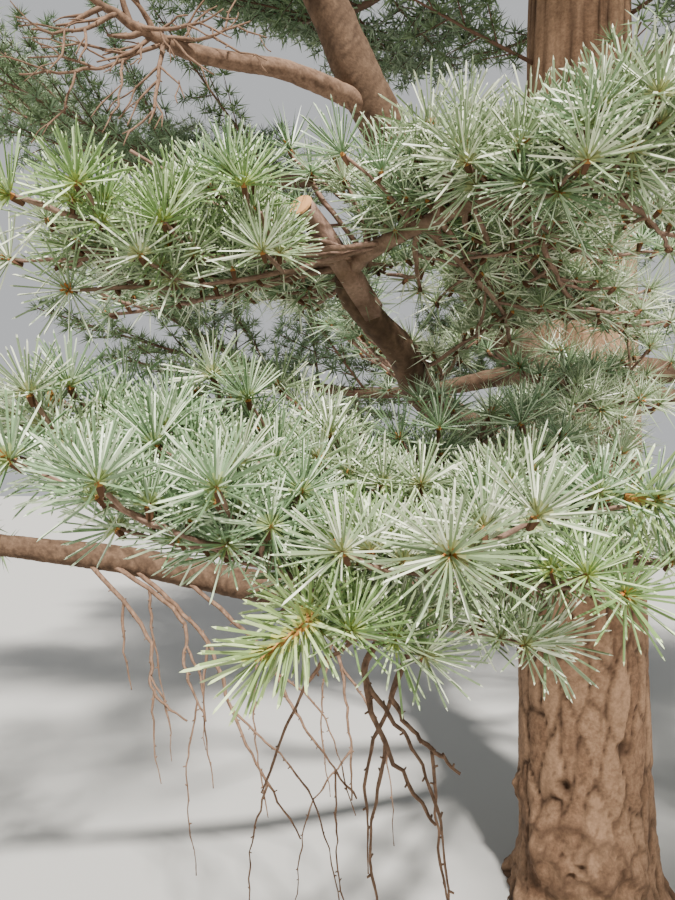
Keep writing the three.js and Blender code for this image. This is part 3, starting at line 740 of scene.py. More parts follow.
def wood_tree():
    """Turns lines with a radius at each point into plain tapering twigs of a few sides."""
    tree, given = named_inputs("twigs", {"Sides": "Int", "Closed": "Bool", "Bark": "Material"})
    curve = add_node(tree, "GeometryNodeMeshToCurve", {0: given["Geometry"]})
    return finish_tree(tree, swept(tree, curve, given["Sides"], given["Closed"]), given["Bark"])


twig_rule = wood_tree()
shoot_bark = plain_finish("smooth shoot bark", "#5A4334", 0.8, 0.3)
for name, runs, sides in (("crown_shoots", shoot_runs, 4), ("crown_twigs", twig_runs, 3)):
    values = {"Sides": sides, "Closed": sides > 3, "Bark": shoot_bark}
    wood = grow(name, lines_mesh(name, runs), twig_rule, values)
    wood.data.shade_smooth()
    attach(wood, "root")
    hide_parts(*foliage_nodes)

# Needles of the crown: stiff waxy needles in rosettes, larger than life so that a tree's worth fits.
# They come in pairs of tapering slivers, flat sides at right angles, and each spray has one of five tints.
ROSETTE_KINDS = 4
LARGEST_PIECE = 190000  # triangles
CROWN_LOOKS = {"plain": (6, 0.005, 0.056), "fine": (11, 0.0025, 0.042)}  # pairs, half width and length
# The deeper tints stand partly for painted shade inside the crown, and partly for older needles.
CROWN_TINTS = [  # name, one side, the other side
    ("deep", "#5E714B", "#465836"),
    ("green", "#6F845C", "#546843"),
    ("blue", "#809774", "#627857"),
    ("grey", "#90A184", "#6F8063"),
    ("pale", "#A1B18D", "#7F906F"),
]


def rosette_tree():
    """Stands needles round one point, in a spiral that opens from the middle outwards."""
    numbers = {name: "Float" for name in ("From angle", "To angle", "Root ring")}
    tree, given = named_inputs("rosette", {"Needle": "Object", "Needles": "Int", **numbers, "Seed": "Int"})
    index = add_node(tree, "GeometryNodeInputIndex")
    ranges = {"lean": (-0.16, 0.16), "spin": (-0.25, 0.25), "long": (0.82, 1.1), "roll": (0.0, 2 * math.pi)}
    drawn = {}
    for name, (low, high) in ranges.items():
        inputs = {2: low, 3: high, "ID": index, "Seed": given["Seed"]}
        drawn[name] = add_node(tree, "FunctionNodeRandomValue", inputs).outputs[1]
    step = math.radians(GOLDEN_ANGLE)
    turn = add_node(tree, "ShaderNodeMath", {0: index, 1: step}, operation="MULTIPLY")
    share = add_node(tree, "ShaderNodeMath", {0: index, 1: given["Needles"]}, operation="DIVIDE")
    root = add_node(tree, "ShaderNodeMath", {0: share, 1: 0.7}, operation="POWER")
    span = {"To Min": given["From angle"], "To Max": given["To angle"]}
    opening = add_node(tree, "ShaderNodeMapRange", {"Value": root, **span})
    lean = add_node(tree, "ShaderNodeMath", {0: opening, 1: drawn["lean"]}, operation="ADD")
    spin = add_node(tree, "ShaderNodeMath", {0: turn, 1: drawn["spin"]}, operation="ADD")
    angles = add_node(tree, "ShaderNodeCombineXYZ", {"Y": lean, "Z": spin})
    upright = {"Vector": (0, 0, 1), "Rotation": angles}
    axis = add_node(tree, "ShaderNodeVectorRotate", upright, rotation_type="EULER_XYZ")
    foot = add_node(tree, "ShaderNodeVectorMath", {0: axis, "Scale": given["Root ring"]}, operation="SCALE")
    points = add_node(tree, "GeometryNodePoints", {"Count": given["Needles"], "Position": foot})
    needle = add_node(tree, "GeometryNodeObjectInfo", {"Object": given["Needle"]}).outputs["Geometry"]
    about = {"Axis": (0, 0, 1), "Angle": drawn["roll"]}
    roll = add_node(tree, "FunctionNodeAxisAngleToRotation", about)
    leaning = add_node(tree, "FunctionNodeEulerToRotation", {0: angles})
    both = {"Rotation": leaning, "Rotate By": roll}
    twisted = add_node(tree, "FunctionNodeRotateRotation", both, rotation_space="LOCAL")
    inputs = {"Points": points, "Instance": needle, "Rotation": twisted, "Scale": drawn["long"]}
    placed = add_node(tree, "GeometryNodeInstanceOnPoints", inputs)
    real = add_node(tree, "GeometryNodeRealizeInstances", {"Geometry": placed})
    add_node(tree, "NodeGroupOutput", {"Geometry": real})
    return tree


def dress_tree():
    """Puts a rosette or a needle at each point, along its aim, and gives the faces their finishes."""
    sockets = {"Kinds": "Collection", "Upper": "Material", "Under": "Material", "Foot": "Material"}
    tree, given = named_inputs("dress", sockets)
    names = {"aim": "FLOAT_VECTOR", "roll": "FLOAT", "size": "FLOAT", "kind": "INT"}
    noted = "GeometryNodeInputNamedAttribute"
    read = {name: add_node(tree, noted, {"Name": name}, data_type=kind) for name, kind in names.items()}
    aimed = add_node(tree, "FunctionNodeAlignRotationToVector", {"Vector": read["aim"]}, axis="Z")
    roll = add_node(tree, "FunctionNodeAxisAngleToRotation", {"Axis": (0, 0, 1), "Angle": read["roll"]})
    both = {"Rotation": aimed, "Rotate By": roll}
    turned = add_node(tree, "FunctionNodeRotateRotation", both, rotation_space="LOCAL")
    inputs = {"Collection": given["Kinds"], "Separate Children": True, "Reset Children": True}
    kinds = add_node(tree, "GeometryNodeCollectionInfo", inputs)
    picked = {"Instance": kinds, "Pick Instance": True, "Instance Index": read["kind"]}
    place = {"Points": given["Geometry"], "Rotation": turned, "Scale": read["size"]}
    placed = add_node(tree, "GeometryNodeInstanceOnPoints", {**picked, **place})
    real = add_node(tree, "GeometryNodeRealizeInstances", {"Geometry": placed})
    done = add_node(tree, "GeometryNodeSetMaterial", {"Geometry": real, "Material": given["Under"]})
    for part in ("Upper", "Foot"):
        chosen = add_node(tree, noted, {"Name": part.lower()}, data_type="BOOLEAN")
        inputs = {"Geometry": done, "Selection": chosen, "Material": given[part]}
        done = add_node(tree, "GeometryNodeSetMaterial", inputs)
    add_node(tree, "NodeGroupOutput", {"Geometry": done})
    return tree


def kinds_of(name, shapes):
    """A collection of shapes that the dress tree picks from, which isn't in the scene."""
    group = bpy.data.collections.new(name)
    for shape in shapes:
        for home in list(shape.users_collection):
            home.objects.unlink(shape)
        group.objects.link(shape)
    return group


def needle_shape(name, points, faces, upper_faces, foot_faces=()):
    """A needle along +Z from the origin, with notes of which faces are its upper side and its foot."""
    shape = mesh_object(name, points, faces)
    for part, chosen in (("upper", upper_faces), ("foot", foot_faces)):
        flags = shape.data.attributes.new(part, "BOOLEAN", "FACE")
        flags.data.foreach_set("value", [i in chosen for i in range(len(faces))])
    return shape


def rosettes(look, needle, count, angles, ring, seed):
    """The rosettes of one look, one for each last angle, which differ in how their needles are strewn."""
    made = []
    values = {"Needle": needle, "Needles": count, "Root ring": ring}
    for k, (first, last) in enumerate(angles):
        base = bpy.data.meshes.new("seed")
        values = {**values, "From angle": first, "To angle": last, "Seed": seed + k}
        made.append(grow(f"{look}_rosette_{k}", base, rosette_rule, values, keep=("upper", "foot")))
    bpy.data.objects.remove(needle)
    return kinds_of(f"{look}_rosettes", made)


def points_mesh(name, rows):
    """A mesh of points with their aim, size, roll and kind, from rows of place, aim, size and kind."""
    rows = np.asarray(rows, float)
    mesh = bpy.data.meshes.new(name)
    mesh.vertices.add(len(rows))
    mesh.vertices.foreach_set("co", rows[:, 0:3].ravel())
    note(mesh, "aim", "FLOAT_VECTOR", rows[:, 3:6])
    note(mesh, "size", "FLOAT", rows[:, 6])
    note(mesh, "roll", "FLOAT", 2 * math.pi * scatter(np.arange(len(rows)), 5))
    note(mesh, "kind", "INT", rows[:, 7].astype(int))
    return mesh


def dressed(name, rows, kinds, looks):
    """A piece with a shape of a collection at each row of place, aim, size and kind."""
    return grow(name, points_mesh(name, rows), dress_rule, {"Kinds": kinds, **looks}, keep=())


def finishes(name, *looks):
    """Finishes for the upper side, the under side and the foot, each of a colour, roughness and gloss."""
    parts = {"Upper": name, "Under": f"{name} under", "Foot": f"{name} foot"}
    return {part: plain_finish(label, *look) for (part, label), look in zip(parts.items(), looks)}


rosette_rule = rosette_tree()
dress_rule = dress_tree()
for look, (pairs, half, length) in CROWN_LOOKS.items():
    one = [(0, -half, 0.003), (0, half, 0.003), (-0.002, 0.004, length)]
    other = [(-half, 0, 0.003), (half, 0, 0.003), (0.012, -0.009, 0.93 * length)]
    pair = needle_shape(f"{look}_pair", one + other, [(0, 1, 2), (3, 4, 5)], {0})
    kinds = rosettes(look, pair, pairs, [(0.15, 1.75)] * ROSETTE_KINDS, 0.002, 0)
    for k, (tint, upper, under) in enumerate(CROWN_TINTS):
        rows = np.array([row for row in tufts[look] if row[7] == k])
        if len(rows) == 0:
            continue
        rows[:, 7] = np.arange(len(rows)) % ROSETTE_KINDS
        wax = finishes(f"waxy needle {tint}", (upper, 0.55, 0.4), (under, 0.6, 0.4))
        wax["Foot"] = wax["Under"]
        parts = math.ceil(len(rows) * pairs * 2 / LARGEST_PIECE)
        for part, some in enumerate(np.array_split(rows, parts)):
            needles = dressed(f"crown_needles_{look}_{tint}_{part + 1}", some, kinds, wax)
            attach(needles, "root")
            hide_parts(*foliage_nodes)

# Near sprays: the front one and the upper one, with needles of life size on short woody spurs.
# Their shoots run from the stem to tips read off the photograph, and bear shorter ones left and right.
SPUR_STEP = 0.0145
SPUR_LENGTH = 0.005
SUB_STEP = 0.03
YOUNG_STEP = 0.0007
NEAR_ROOM = 0.215  # from the eye, which nothing comes closer than
SIGHT_WIDTH = 0.055
# The upper spray's outline in the picture: no tuft's middle is higher than this, from left to right.
OUTLINE_U = (-100, 0, 90, 200, 290, 370, 430, 500, 557, 628, 675, 800)
OUTLINE_V = (185, 170, 165, 172, 150, 152, 118, 122, 108, 80, 84, 60)
OUTLINE_ROOM = 4

near_nodes = ["foliage_front", "foliage_upper"]
near_tufts = []  # rows of place, aim, size and tint
near_singles = []
near_runs = []
tip_buds = []
young_runs = []

# The photograph shows the cut stub, the limb below it and the front shoot, so no tuft hides them.
stub_line = Line([seen(372, 312, 0.45), seen(340, 262, 0.415), seen(318, 230, 0.4), seen(300, 205, 0.385)])
young_line = Line([front_line.at(0.9), seen(308, 622, 0.262), seen(256, 660, 0.238)])
stub_sights = stub_line.at(np.linspace(0.2, 1, 6))
bare_sights = [*stub_sights, seen(385, 330, 0.46), *young_line.at(np.linspace(0.3, 1, 4))]


def in_front(place):
    """Whether a tuft at a place would hide one of those from the eye."""
    far = np.linalg.norm(place - EYE)
    for sight in bare_sights:
        reach = np.linalg.norm(sight - EYE)
        apart = np.linalg.norm((place - EYE) / far - (sight - EYE) / reach)
        if far < reach + 0.01 and apart < SIGHT_WIDTH:
            return True
    return False


def picture_place(place):
    """The pixel of the picture where a place is seen."""
    off = place - EYE
    ahead = off[1] * math.cos(EYE_PITCH) + off[2] * math.sin(EYE_PITCH)
    up = off[2] * math.cos(EYE_PITCH) - off[1] * math.sin(EYE_PITCH)
    return PICTURE[0] / 2 + FOCAL * off[0] / ahead, PICTURE[1] / 2 - FOCAL * up / ahead


def below_outline(place):
    u, v = picture_place(place)
    return v > np.interp(u, OUTLINE_U, OUTLINE_V) - OUTLINE_ROOM


def near_tuft(place, aim, size, tint):
    """Adds a tuft where there is room for it and nothing bare to hide, and says whether it did."""
    roomy = np.linalg.norm(place - EYE) > NEAR_ROOM and clear_of_trunk(place)
    kept = roomy and below_outline(place) and not in_front(place)
    if kept:
        near_tufts.append((*place, *unit(aim), size, tint))
    return kept


def round_shoot(along, turn):
    """The way out from a shoot at a turn round it from its upper side."""
    side = unit(np.cross(along, UP))
    return np.cross(side, along) * math.cos(turn) + side * math.sin(turn)


def spur_row(line, radius, start, end, seed, tint, fan, lift):
    """Tufts on spurs round the upper side of a shoot, fanned out to both sides by an angle."""
    count = max(1, int(line.length() * (end - start) / SPUR_STEP))
    for k in range(count):
        s = mix(start, end, (k + 0.5 * scatter(seed, k)) / count)
        along = line.along(s)
        spur = round_shoot(along, math.radians(fan) * (2 * ((k * 0.382 + scatter(seed, 4)) % 1) - 1))
        place = line.at(s) + spur * (radius + SPUR_LENGTH)
        aim = spur + 0.3 * along + 0.08 * unit(EYE - place) + lift * UP
        near_tuft(place, aim, mix(0.84, 1.06, scatter(seed, k + 30)), tint)


def bent(start, end, sag, seed):
    """A line from start to end, with a slight bend down and aside."""
    reach = np.linalg.norm(end - start)
    aside = unit(np.cross(end - start, UP)) * (scatter(seed, 71) - 0.5) * 0.3
    middle = (start + end) / 2 + (aside - UP * sag) * reach
    return Line([start, middle, end])


def strewn(seed, k, shifts):
    """A repeatable step aside, of three numbers from -0.5 to 0.5, for each count."""
    return np.stack([scatter(seed, k + shift) for shift in shifts], -1) - 0.5


def knobbly(line, count, root, tip, seed):
    """Points along a line, a little off it, as on a shoot that swells at its spurs, and their radii."""
    s = np.linspace(0, 1, count)
    off = strewn(seed, np.arange(count), (7, 9, 11))
    return line.at(s) + off * 0.0017 * np.minimum(1, 8 * s)[:, None], mix(root, tip, s)


def near_shoot(stem, share, tip, seed, tint, face, fan, lift):
    """One shoot to a chosen tip, with tufts along it and shorter shoots by turns left and right."""
    line = bent(stem.at(share), tip, 0.06, seed)
    length = line.length()
    near_runs.append(knobbly(line, max(6, int(length / 0.006)), 0.0021, 0.0012, seed))
    spur_row(line, 0.002, 0.12, 0.93, seed, tint, fan, lift)
    end_aim = mix(line.along(1.0) + 0.4 * UP, unit(EYE - tip), face)
    if near_tuft(tip, end_aim, mix(1.05, 1.18, face), tint):
        bud = tip + 0.0018 * unit(end_aim)
        tip_buds.append((*bud, *unit(end_aim), mix(1.2, 1.7, scatter(seed, 8)), 0))
    subs = int(length / SUB_STEP)
    for j in range(subs):
        u = mix(0.14, 0.86, (j + 0.5) / subs)
        key = seed * 11 + j
        way = side_way(line.along(u), j, mix(60, 40, u), mix(-0.15, 0.6, scatter(key, 5)))
        reach = mix(0.026, 0.062, scatter(key, 6)) * mix(1.1, 0.75, u)
        base = line.at(u)
        sub = bent(base, base + way * reach, 0.05, key)
        if not below_outline(sub.at(1.0)):
            continue
        near_runs.append(knobbly(sub, 7, 0.0015, 0.001, key))
        spur_row(sub, 0.0018, 0.2, 0.9, key, tint, fan, lift)
        near_tuft(sub.at(1.0), sub.along(1.0) + lift * UP, 1.0, tint)


def young_shoot(line, seed):
    """This year's shoot, of tan bark, with single needles in a spiral."""
    count = int(line.length() / YOUNG_STEP)
    for k in range(count):
        s = (k + 0.5) / count
        along = line.along(s)
        out = round_shoot(along, math.radians(GOLDEN_ANGLE) * k + seed)
        aim = unit(out * mix(1.0, 0.5, s) + along * mix(0.35, 0.9, s))
        size = mix(0.95, 1.2, scatter(seed, k)) * mix(1.0, 0.88, s)
        near_singles.append((*(line.at(s) + out * 0.0012), *aim, size, 0))
    s = np.linspace(0, 1, 10)
    young_runs.append((line.at(s), mix(0.0019, 0.0012, s)))


# Tips of the shoots: share of the stem, place in the picture, depth, tint, and how far they face the eye.
FRONT_TIPS = [
    (0.12, 560, 440, 0.4, 0, 0.05), (0.14, 330, 415, 0.44, 1, 0.2), (0.2, 490, 415, 0.42, 1, 0.3),
    (0.26, 655, 500, 0.3, 0, 0.3), (0.3, 240, 430, 0.38, 0, 0.05), (0.36, 625, 595, 0.29, 2, 0.6),
    (0.42, 60, 400, 0.35, 0, 0.1), (0.48, 530, 475, 0.35, 1, 0.1), (0.54, 150, 440, 0.32, 0, 0.1),
    (0.58, 450, 555, 0.23, 1, 0.92), (0.64, 10, 460, 0.265, 0, 0.3), (0.7, 545, 640, 0.32, 1, 0.4),
    (0.76, 200, 485, 0.29, 0, 0.25), (0.84, 395, 640, 0.285, 2, 0.4), (0.3, 760, 560, 0.33, 1, 0.2),
    (0.4, -90, 420, 0.33, 0, 0.2), (0.02, 620, 420, 0.5, 1, 0.2), (0.05, 420, 400, 0.52, 0, 0.2),
    (0.1, 660, 560, 0.42, 1, 0.2), (0.16, 575, 545, 0.38, 0, 0.3), (0.22, 400, 440, 0.4, 0, 0.05),
    (0.34, 320, 460, 0.35, 1, 0.05), (0.5, 110, 480, 0.34, 1, 0.2), (0.6, 340, 540, 0.3, 2, 0.5),
    (0.36, 280, 388, 0.4, 1, 0.2), (0.46, 200, 396, 0.38, 1, 0.2), (0.5, 125, 392, 0.36, 0, 0.2),
    (0.56, 20, 420, 0.33, 1, 0.3), (0.08, 540, 400, 0.46, 0, 0.2), (0.1, 620, 455, 0.42, 1, 0.2),
]
UPPER_TIPS = [
    (0.03, 190, 245, 0.38, 1, 0.2), (0.05, 88, 190, 0.33, 2, 0.3), (0.07, 213, 190, 0.35, 1, 0.2),
    (0.1, 290, 150, 0.4, 0, 0.2), (0.12, 10, 195, 0.3, 2, 0.2), (0.14, 70, 290, 0.34, 1, 0.7),
    (0.1, 130, 150, 0.37, 0, 0.2), (0.16, 10, 260, 0.36, 1, 0.3), (0.08, 150, 300, 0.5, 1, 0.2),
    (0.12, 250, 300, 0.5, 0, 0.2), (0.16, 395, 160, 0.37, 1, 0.2), (0.22, 430, 128, 0.34, 1, 0.4),
    (0.3, 468, 118, 0.37, 1, 0.2), (0.42, 500, 140, 0.36, 1, 0.2), (0.46, 530, 125, 0.35, 1, 0.2),
    (0.5, 557, 128, 0.32, 1, 0.4), (0.58, 590, 112, 0.33, 1, 0.2), (0.62, 600, 160, 0.32, 0, 0.3),
    (0.76, 628, 92, 0.3, 1, 0.4), (0.84, 665, 105, 0.31, 1, 0.2), (0.86, 800, 180, 0.33, 0, 0.2),
    (0.24, 420, 290, 0.44, 1, 0.1), (0.26, 510, 340, 0.52, 1, 0.5), (0.44, 540, 240, 0.42, 1, 0.1),
    (0.55, 640, 335, 0.55, 1, 0.5), (0.7, 670, 250, 0.38, 1, 0.2), (0.2, 405, 195, 0.36, 0, 0.2),
    (0.24, 445, 165, 0.35, 1, 0.2), (0.33, 480, 170, 0.35, 1, 0.2), (0.38, 508, 175, 0.34, 1, 0.3),
    (0.5, 575, 158, 0.33, 1, 0.2), (0.52, 558, 192, 0.32, 0, 0.4), (0.6, 612, 130, 0.32, 1, 0.2),
    (0.64, 628, 172, 0.31, 1, 0.3), (0.7, 648, 130, 0.31, 1, 0.2), (0.78, 672, 142, 0.305, 1, 0.2),
    (0.3, 462, 150, 0.32, 1, 0.1), (0.4, 520, 148, 0.31, 1, 0.1), (0.6, 632, 150, 0.29, 1, 0.1),
    (0.72, 690, 120, 0.29, 1, 0.1), (0.3, 470, 250, 0.42, 2, 0.1), (0.38, 520, 268, 0.45, 2, 0.1),
    (0.5, 600, 262, 0.43, 0, 0.1), (0.12, 335, 158, 0.4, 1, 0.1), (0.14, 365, 168, 0.42, 0, 0.1),
    (0.3, 545, 318, 0.52, 1, 0.1), (0.4, 600, 322, 0.52, 0, 0.1), (0.5, 650, 300, 0.5, 1, 0.1),
    (0.06, 110, 315, 0.46, 0, 0.1), (0.08, 200, 280, 0.48, 0, 0.1), (0.1, 300, 310, 0.52, 1, 0.1),
    (0.12, 330, 270, 0.5, 0, 0.1),
]
BACK_TIPS = [
    (0.35, 560, 352, 0.56, 1, 0.4), (0.45, 605, 372, 0.55, 0, 0.4), (0.55, 650, 348, 0.54, 1, 0.4),
    (0.65, 560, 392, 0.53, 0, 0.4), (0.75, 640, 400, 0.5, 1, 0.4), (0.85, 520, 368, 0.52, 0, 0.4),
    (0.95, 600, 410, 0.48, 1, 0.4),
]
back_line = Line([front_line.at(0.3), seen(600, 440, 0.68), seen(585, 405, 0.58), seen(560, 380, 0.5)])
NEAR_STEMS = (  # line, tips, root radius, seed, fan, share at which the stem ends, and lift
    (front_line.part(0.5, 1), FRONT_TIPS, 0.007, 500, 85, 0.8, 0.9),
    (upper_line.part(0.5, 1), UPPER_TIPS, 0.0058, 700, 100, 1.0, 0.85),
    (back_line, BACK_TIPS, 0.0045, 800, 95, 1.0, 0.7),
)
for stem, tips, root, seed, fan, end, lift in NEAR_STEMS:
    s = np.linspace(0, end, 60)
    near_runs.append((stem.at(s), mix(root, 0.0024, s / end)))
    spur_row(stem, 0.005, 0.1, 0.95 * end, seed, 1, fan, lift)
    spur_row(stem, 0.004, 0.14, 0.97 * end, seed + 50, 0, fan, lift)
    for i, (share, u, v, depth, tint, face) in enumerate(tips):
        near_shoot(stem, share, seen(u, v, depth), seed + i, tint, face, fan, lift)

# Nearer the trunk both boughs bear a few short shoots, left and right by turns.
for stem, count, seed in ((front_line.part(0.14, 0.48), 9, 900), (upper_line.part(0.08, 0.3), 7, 950)):
    for k in range(count):
        share = (k + 0.5) / count
        along = stem.along(share)
        flat = unit(np.cross(UP, along)) * (1 if k % 2 else -1)
        way = unit(0.7 * along + 0.8 * flat + UP * mix(0.1, 0.9, scatter(seed, k)))
        tip = stem.at(share) + way * mix(0.07, 0.13, scatter(seed, k + 20))
        near_shoot(stem, share, tip, seed + k, k % 2, 0.1, 95, 0.7)

# Cut stub: the upper limb was cut back long ago, and its stub ends in a flat pale face.
# The face is a low dome of rings that closes over the end of the stub's bark.
STUB_ROOT = 0.0085
STUB_RADIUS = 0.0074
STUB_SIDES = 18
STUB_RINGS = ((0.35, 0.001), (0.7, 0.0008), (0.95, 0.0004), (1.02, -0.0006))  # share of the radius, rise
stub_share = np.linspace(0, 1, 20)
near_runs.append((stub_line.at(stub_share), mix(STUB_ROOT, STUB_RADIUS, stub_share)))
stub_end = stub_line.at(1.0)
stub_way = stub_line.along(1.0)
stub_side = unit(np.cross(stub_way, UP))
stub_over = np.cross(stub_side, stub_way)
stub_points = [stub_end + stub_way * 0.0012]
for share, rise in STUB_RINGS:
    for turn in np.arange(STUB_SIDES) / STUB_SIDES * 2 * math.pi:
        spoke = (stub_side * math.cos(turn) + stub_over * math.sin(turn)) * STUB_RADIUS * share
        stub_points.append(stub_end + spoke + stub_way * rise)
stub_sides = [(k, (k + 1) % STUB_SIDES) for k in range(STUB_SIDES)]
stub_faces = [(0, 1 + k, 1 + onward) for k, onward in stub_sides]
for low in range(1, 1 + 3 * STUB_SIDES, STUB_SIDES):
    high = low + STUB_SIDES
    stub_faces += [(low + k, high + k, high + onward, low + onward) for k, onward in stub_sides]
cut_end = mesh_object("cut_end", stub_points, stub_faces, plain_finish("cut wood", "#B98A5C", 0.8, 0.2))
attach(cut_end, "root")
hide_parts("foliage_upper")

# Near wood: the bark of the near shoots, of this year's two shoots and of the small cone at the left.
# A dry tuft hangs among the front spray's needles, on a thin shoot of its own.
DRY_NEEDLES = 46
CONE_RADII = np.array([1.5, 2.2, 2.4, 2.4, 2.3, 2.0, 1.5, 0.8]) / 1000
dry_line = Line([seen(258, 462, 0.31), seen(264, 490, 0.308), seen(262, 520, 0.305)])
near_runs.append((dry_line.at(np.linspace(0, 1, 7)), np.full(7, 0.0009)))
dry_needles = []
for k in range(DRY_NEEDLES):
    aim = unit(strewn(k, 0, (32, 33, 34)) * 1.3 - UP * 0.9)
    dry_needles.append((*dry_line.at(scatter(k, 31)), *aim, mix(0.25, 0.5, scatter(k, 35)), 0))
young_shoot(young_line, 1.3)
young_shoot(Line([seen(625, 497, 0.3), seen(655, 500, 0.3), seen(700, 506, 0.305)]), 2.9)
cone_line = Line([seen(56, 418, 0.34), seen(52, 404, 0.338), seen(48, 384, 0.336)])
young_runs.append((cone_line.at(np.linspace(0, 1, len(CONE_RADII))), CONE_RADII))

near_bark = bark_finish("near twig bark", "#6E5543", "#95796A", "#3A2A20", 0.0022)
near_values = {"Sides": 5, "Step": 0.007, "Scale size": 0.004, "Relief": 0.00035, "Bark": near_bark}
near_wood = grow("near_twigs", lines_mesh("near_twigs", near_runs), limb_rule, near_values)
young_tan = bark_finish("this year's shoot", "#A06C33", "#BF8F52", "#6B4523", 0.0015)
young_values = {"Sides": 8, "Step": 0.003, "Scale size": 0.003, "Relief": 0.0001, "Bark": young_tan}
young_wood = grow("near_young_shoots", lines_mesh("young", young_runs), limb_rule, young_values)
for wood in (near_wood, young_wood):
    wood.data.shade_smooth()
    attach(wood, "root")
    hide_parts(*near_nodes)

# Bud scales: papery pointed scales that flare in a spiral round the bud at the end of a shoot.
# Each is two triangles, and the outer ones open wider and are shorter.
BUD_SCALES = 9
scale_points = []
scale_faces = []
for k in range(BUD_SCALES):
    turn = math.radians(GOLDEN_ANGLE * k)
    flare = 0.5 + 0.09 * k
    reach = 0.0036 - 0.00012 * k
    out = np.array([math.cos(turn), math.sin(turn), 0])
    aside = np.array([-math.sin(turn), math.cos(turn), 0])
    tip = out * math.sin(flare) * reach + UP * math.cos(flare) * reach
    base = 4 * k
    scale_points += [out * 0.0002, tip * 0.5 + aside * 0.0007, tip, tip * 0.5 - aside * 0.0007]
    scale_faces += [(base, base + 1, base + 2), (base, base + 2, base + 3)]
scales = needle_shape("scales", scale_points, scale_faces, range(2 * BUD_SCALES))
papery = finishes("papery bud scale", ("#B5743A", 0.7, 0.3), ("#8F562C", 0.7, 0.3))
bud_scales = dressed("bud_scales", tip_buds, kinds_of("bud_scales", [scales]), papery)
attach(bud_scales, "root")
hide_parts(*near_nodes)

# Near needles: slim three-sided rods with a blunt pale end, and a yellow-green foot on the finest kind.
# The tufts nearest the eye have the finest needles, and those far from it have fewer, thicker ones.
NEEDLE_LENGTH = 0.0255
NEEDLE_WIDTH = 0.00106
NEAR_KINDS = 5
CLOSE_COUNT = 270  # tufts nearest the eye, which get the finest needle
BACK_FROM = 0.42  # the distance from the eye past which tufts get fewer, thicker needles
NEAR_LOOKS = {  # needles in a tuft, where along a needle its rings are, and how thick it is
    "close": (50, (0.0, 0.18, 0.93), 1.0),
    "near": (34, (0.0, 0.93), 1.0),
    "back": (28, (0.0,), 1.9),
}
NEAR_TINTS = [  # name, pale sides, green side and foot
    ("blue", "#CBDCBA", "#6F8963", "#8F9E68"),
    ("grey", "#DAE1C4", "#7F916B", "#9FA474"),
    ("fresh", "#CADDA8", "#6F8A52", "#99A85E"),
]


def near_needle(name, rings, thickness):
    """A needle of rings of three points, with one end of three faces."""
    points = []
    for share in rings:
        reach = 0.5 * thickness * np.interp(share, (0, 0.18, 0.93), (0.7, 1.0, 0.88))
        for turn in np.radians((90, 210, 330)):
            points.append((reach * math.cos(turn), reach * math.sin(turn), NEEDLE_LENGTH * share))
    points.append((0.0002, 0, NEEDLE_LENGTH))
    last = 3 * (len(rings) - 1)
    walls = [
        (ring + side, ring + (side + 1) % 3, ring + 3 + (side + 1) % 3, ring + 3 + side)
        for ring in range(0, last, 3)
        for side in range(3)
    ]
    ends = [(last + side, last + (side + 1) % 3, last + 3) for side in range(3)]
    foot = range(3) if len(rings) > 2 else ()
    tips = range(len(walls), len(walls) + 3) if walls else (0,)
    return needle_shape(name, points, walls + ends, [*range(0, len(walls), 3), *tips], foot)


tuft_rows = np.array(near_tufts)
eye_reach = np.linalg.norm(tuft_rows[:, :3] - EYE, axis=1)
by_reach = np.argsort(eye_reach)
tuft_rows = tuft_rows[by_reach]
near_end = int(np.searchsorted(eye_reach[by_reach], BACK_FROM))
near_groups = np.split(tuft_rows, [CLOSE_COUNT, near_end])
for (look, (count, rings, thickness)), group in zip(NEAR_LOOKS.items(), near_groups):
    rod = near_needle(f"{look}_needle", rings, thickness * NEEDLE_WIDTH)
    angles = [(0.12, 1.38 + 0.14 * k) for k in range(NEAR_KINDS)]
    kinds = rosettes(look, rod, count, angles, 0.0016, 20)
    for k, (tint, upper, under, foot) in enumerate(NEAR_TINTS):
        rows = group[group[:, 7] == k].copy()
        rows[:, 7] = np.arange(len(rows)) % NEAR_KINDS
        looks = (upper, 0.36, 0.55), (under, 0.36, 0.5), (foot, 0.5, 0.3)
        wax = finishes(f"{look} needle {tint}", *looks)
        triangles = len(rows) * count * (6 * len(rings) - 3)
        parts = max(1, math.ceil(triangles / LARGEST_PIECE))
        for part, some in enumerate(np.array_split(rows, parts)):
            needles = dressed(f"{look}_needles_{tint}_{part + 1}", some, kinds, wax)
            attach(needles, "root")
            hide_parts(*near_nodes)

# Single needles and spurs: the needles of this year's shoots and of the dry tuft stand singly.
# A spur is a short stout shoot with an orange-brown bud, which sits in the middle of each near tuft.
single_rod = near_needle("young_needle", NEAR_LOOKS["close"][1], 1.25 * NEEDLE_WIDTH)
single_kinds = kinds_of("single_needles", [single_rod])
looks = ("#B4C58C", 0.4, 0.4), ("#7B9158", 0.4, 0.4), ("#A5A95E", 0.4, 0.4)
singles = dressed("near_young_needles", near_singles, single_kinds, finishes("young needle", *looks))
dry_wax = finishes("dry needle", ("#8E674B", 0.7, 0.2), ("#5F412E", 0.7, 0.2))
dry = dressed("dry_needles", dry_needles, single_kinds, dry_wax)
spur_points = [
    (radius * math.cos(turn), radius * math.sin(turn), z)
    for z, radius in ((-0.0062, 0.0012), (-0.0012, 0.0019))
    for turn in np.radians((0, 90, 180, 270))
]
spur_points.append((0, 0, 0.0028))
spur_faces = [(side, (side + 1) % 4, 4 + (side + 1) % 4, 4 + side) for side in range(4)]
spur_faces += [(4 + side, 4 + (side + 1) % 4, 8) for side in range(4)]
spur_faces.append((3, 2, 1, 0))
spur_kinds = kinds_of("spurs", [needle_shape("spur", spur_points, spur_faces, range(4, 8))])
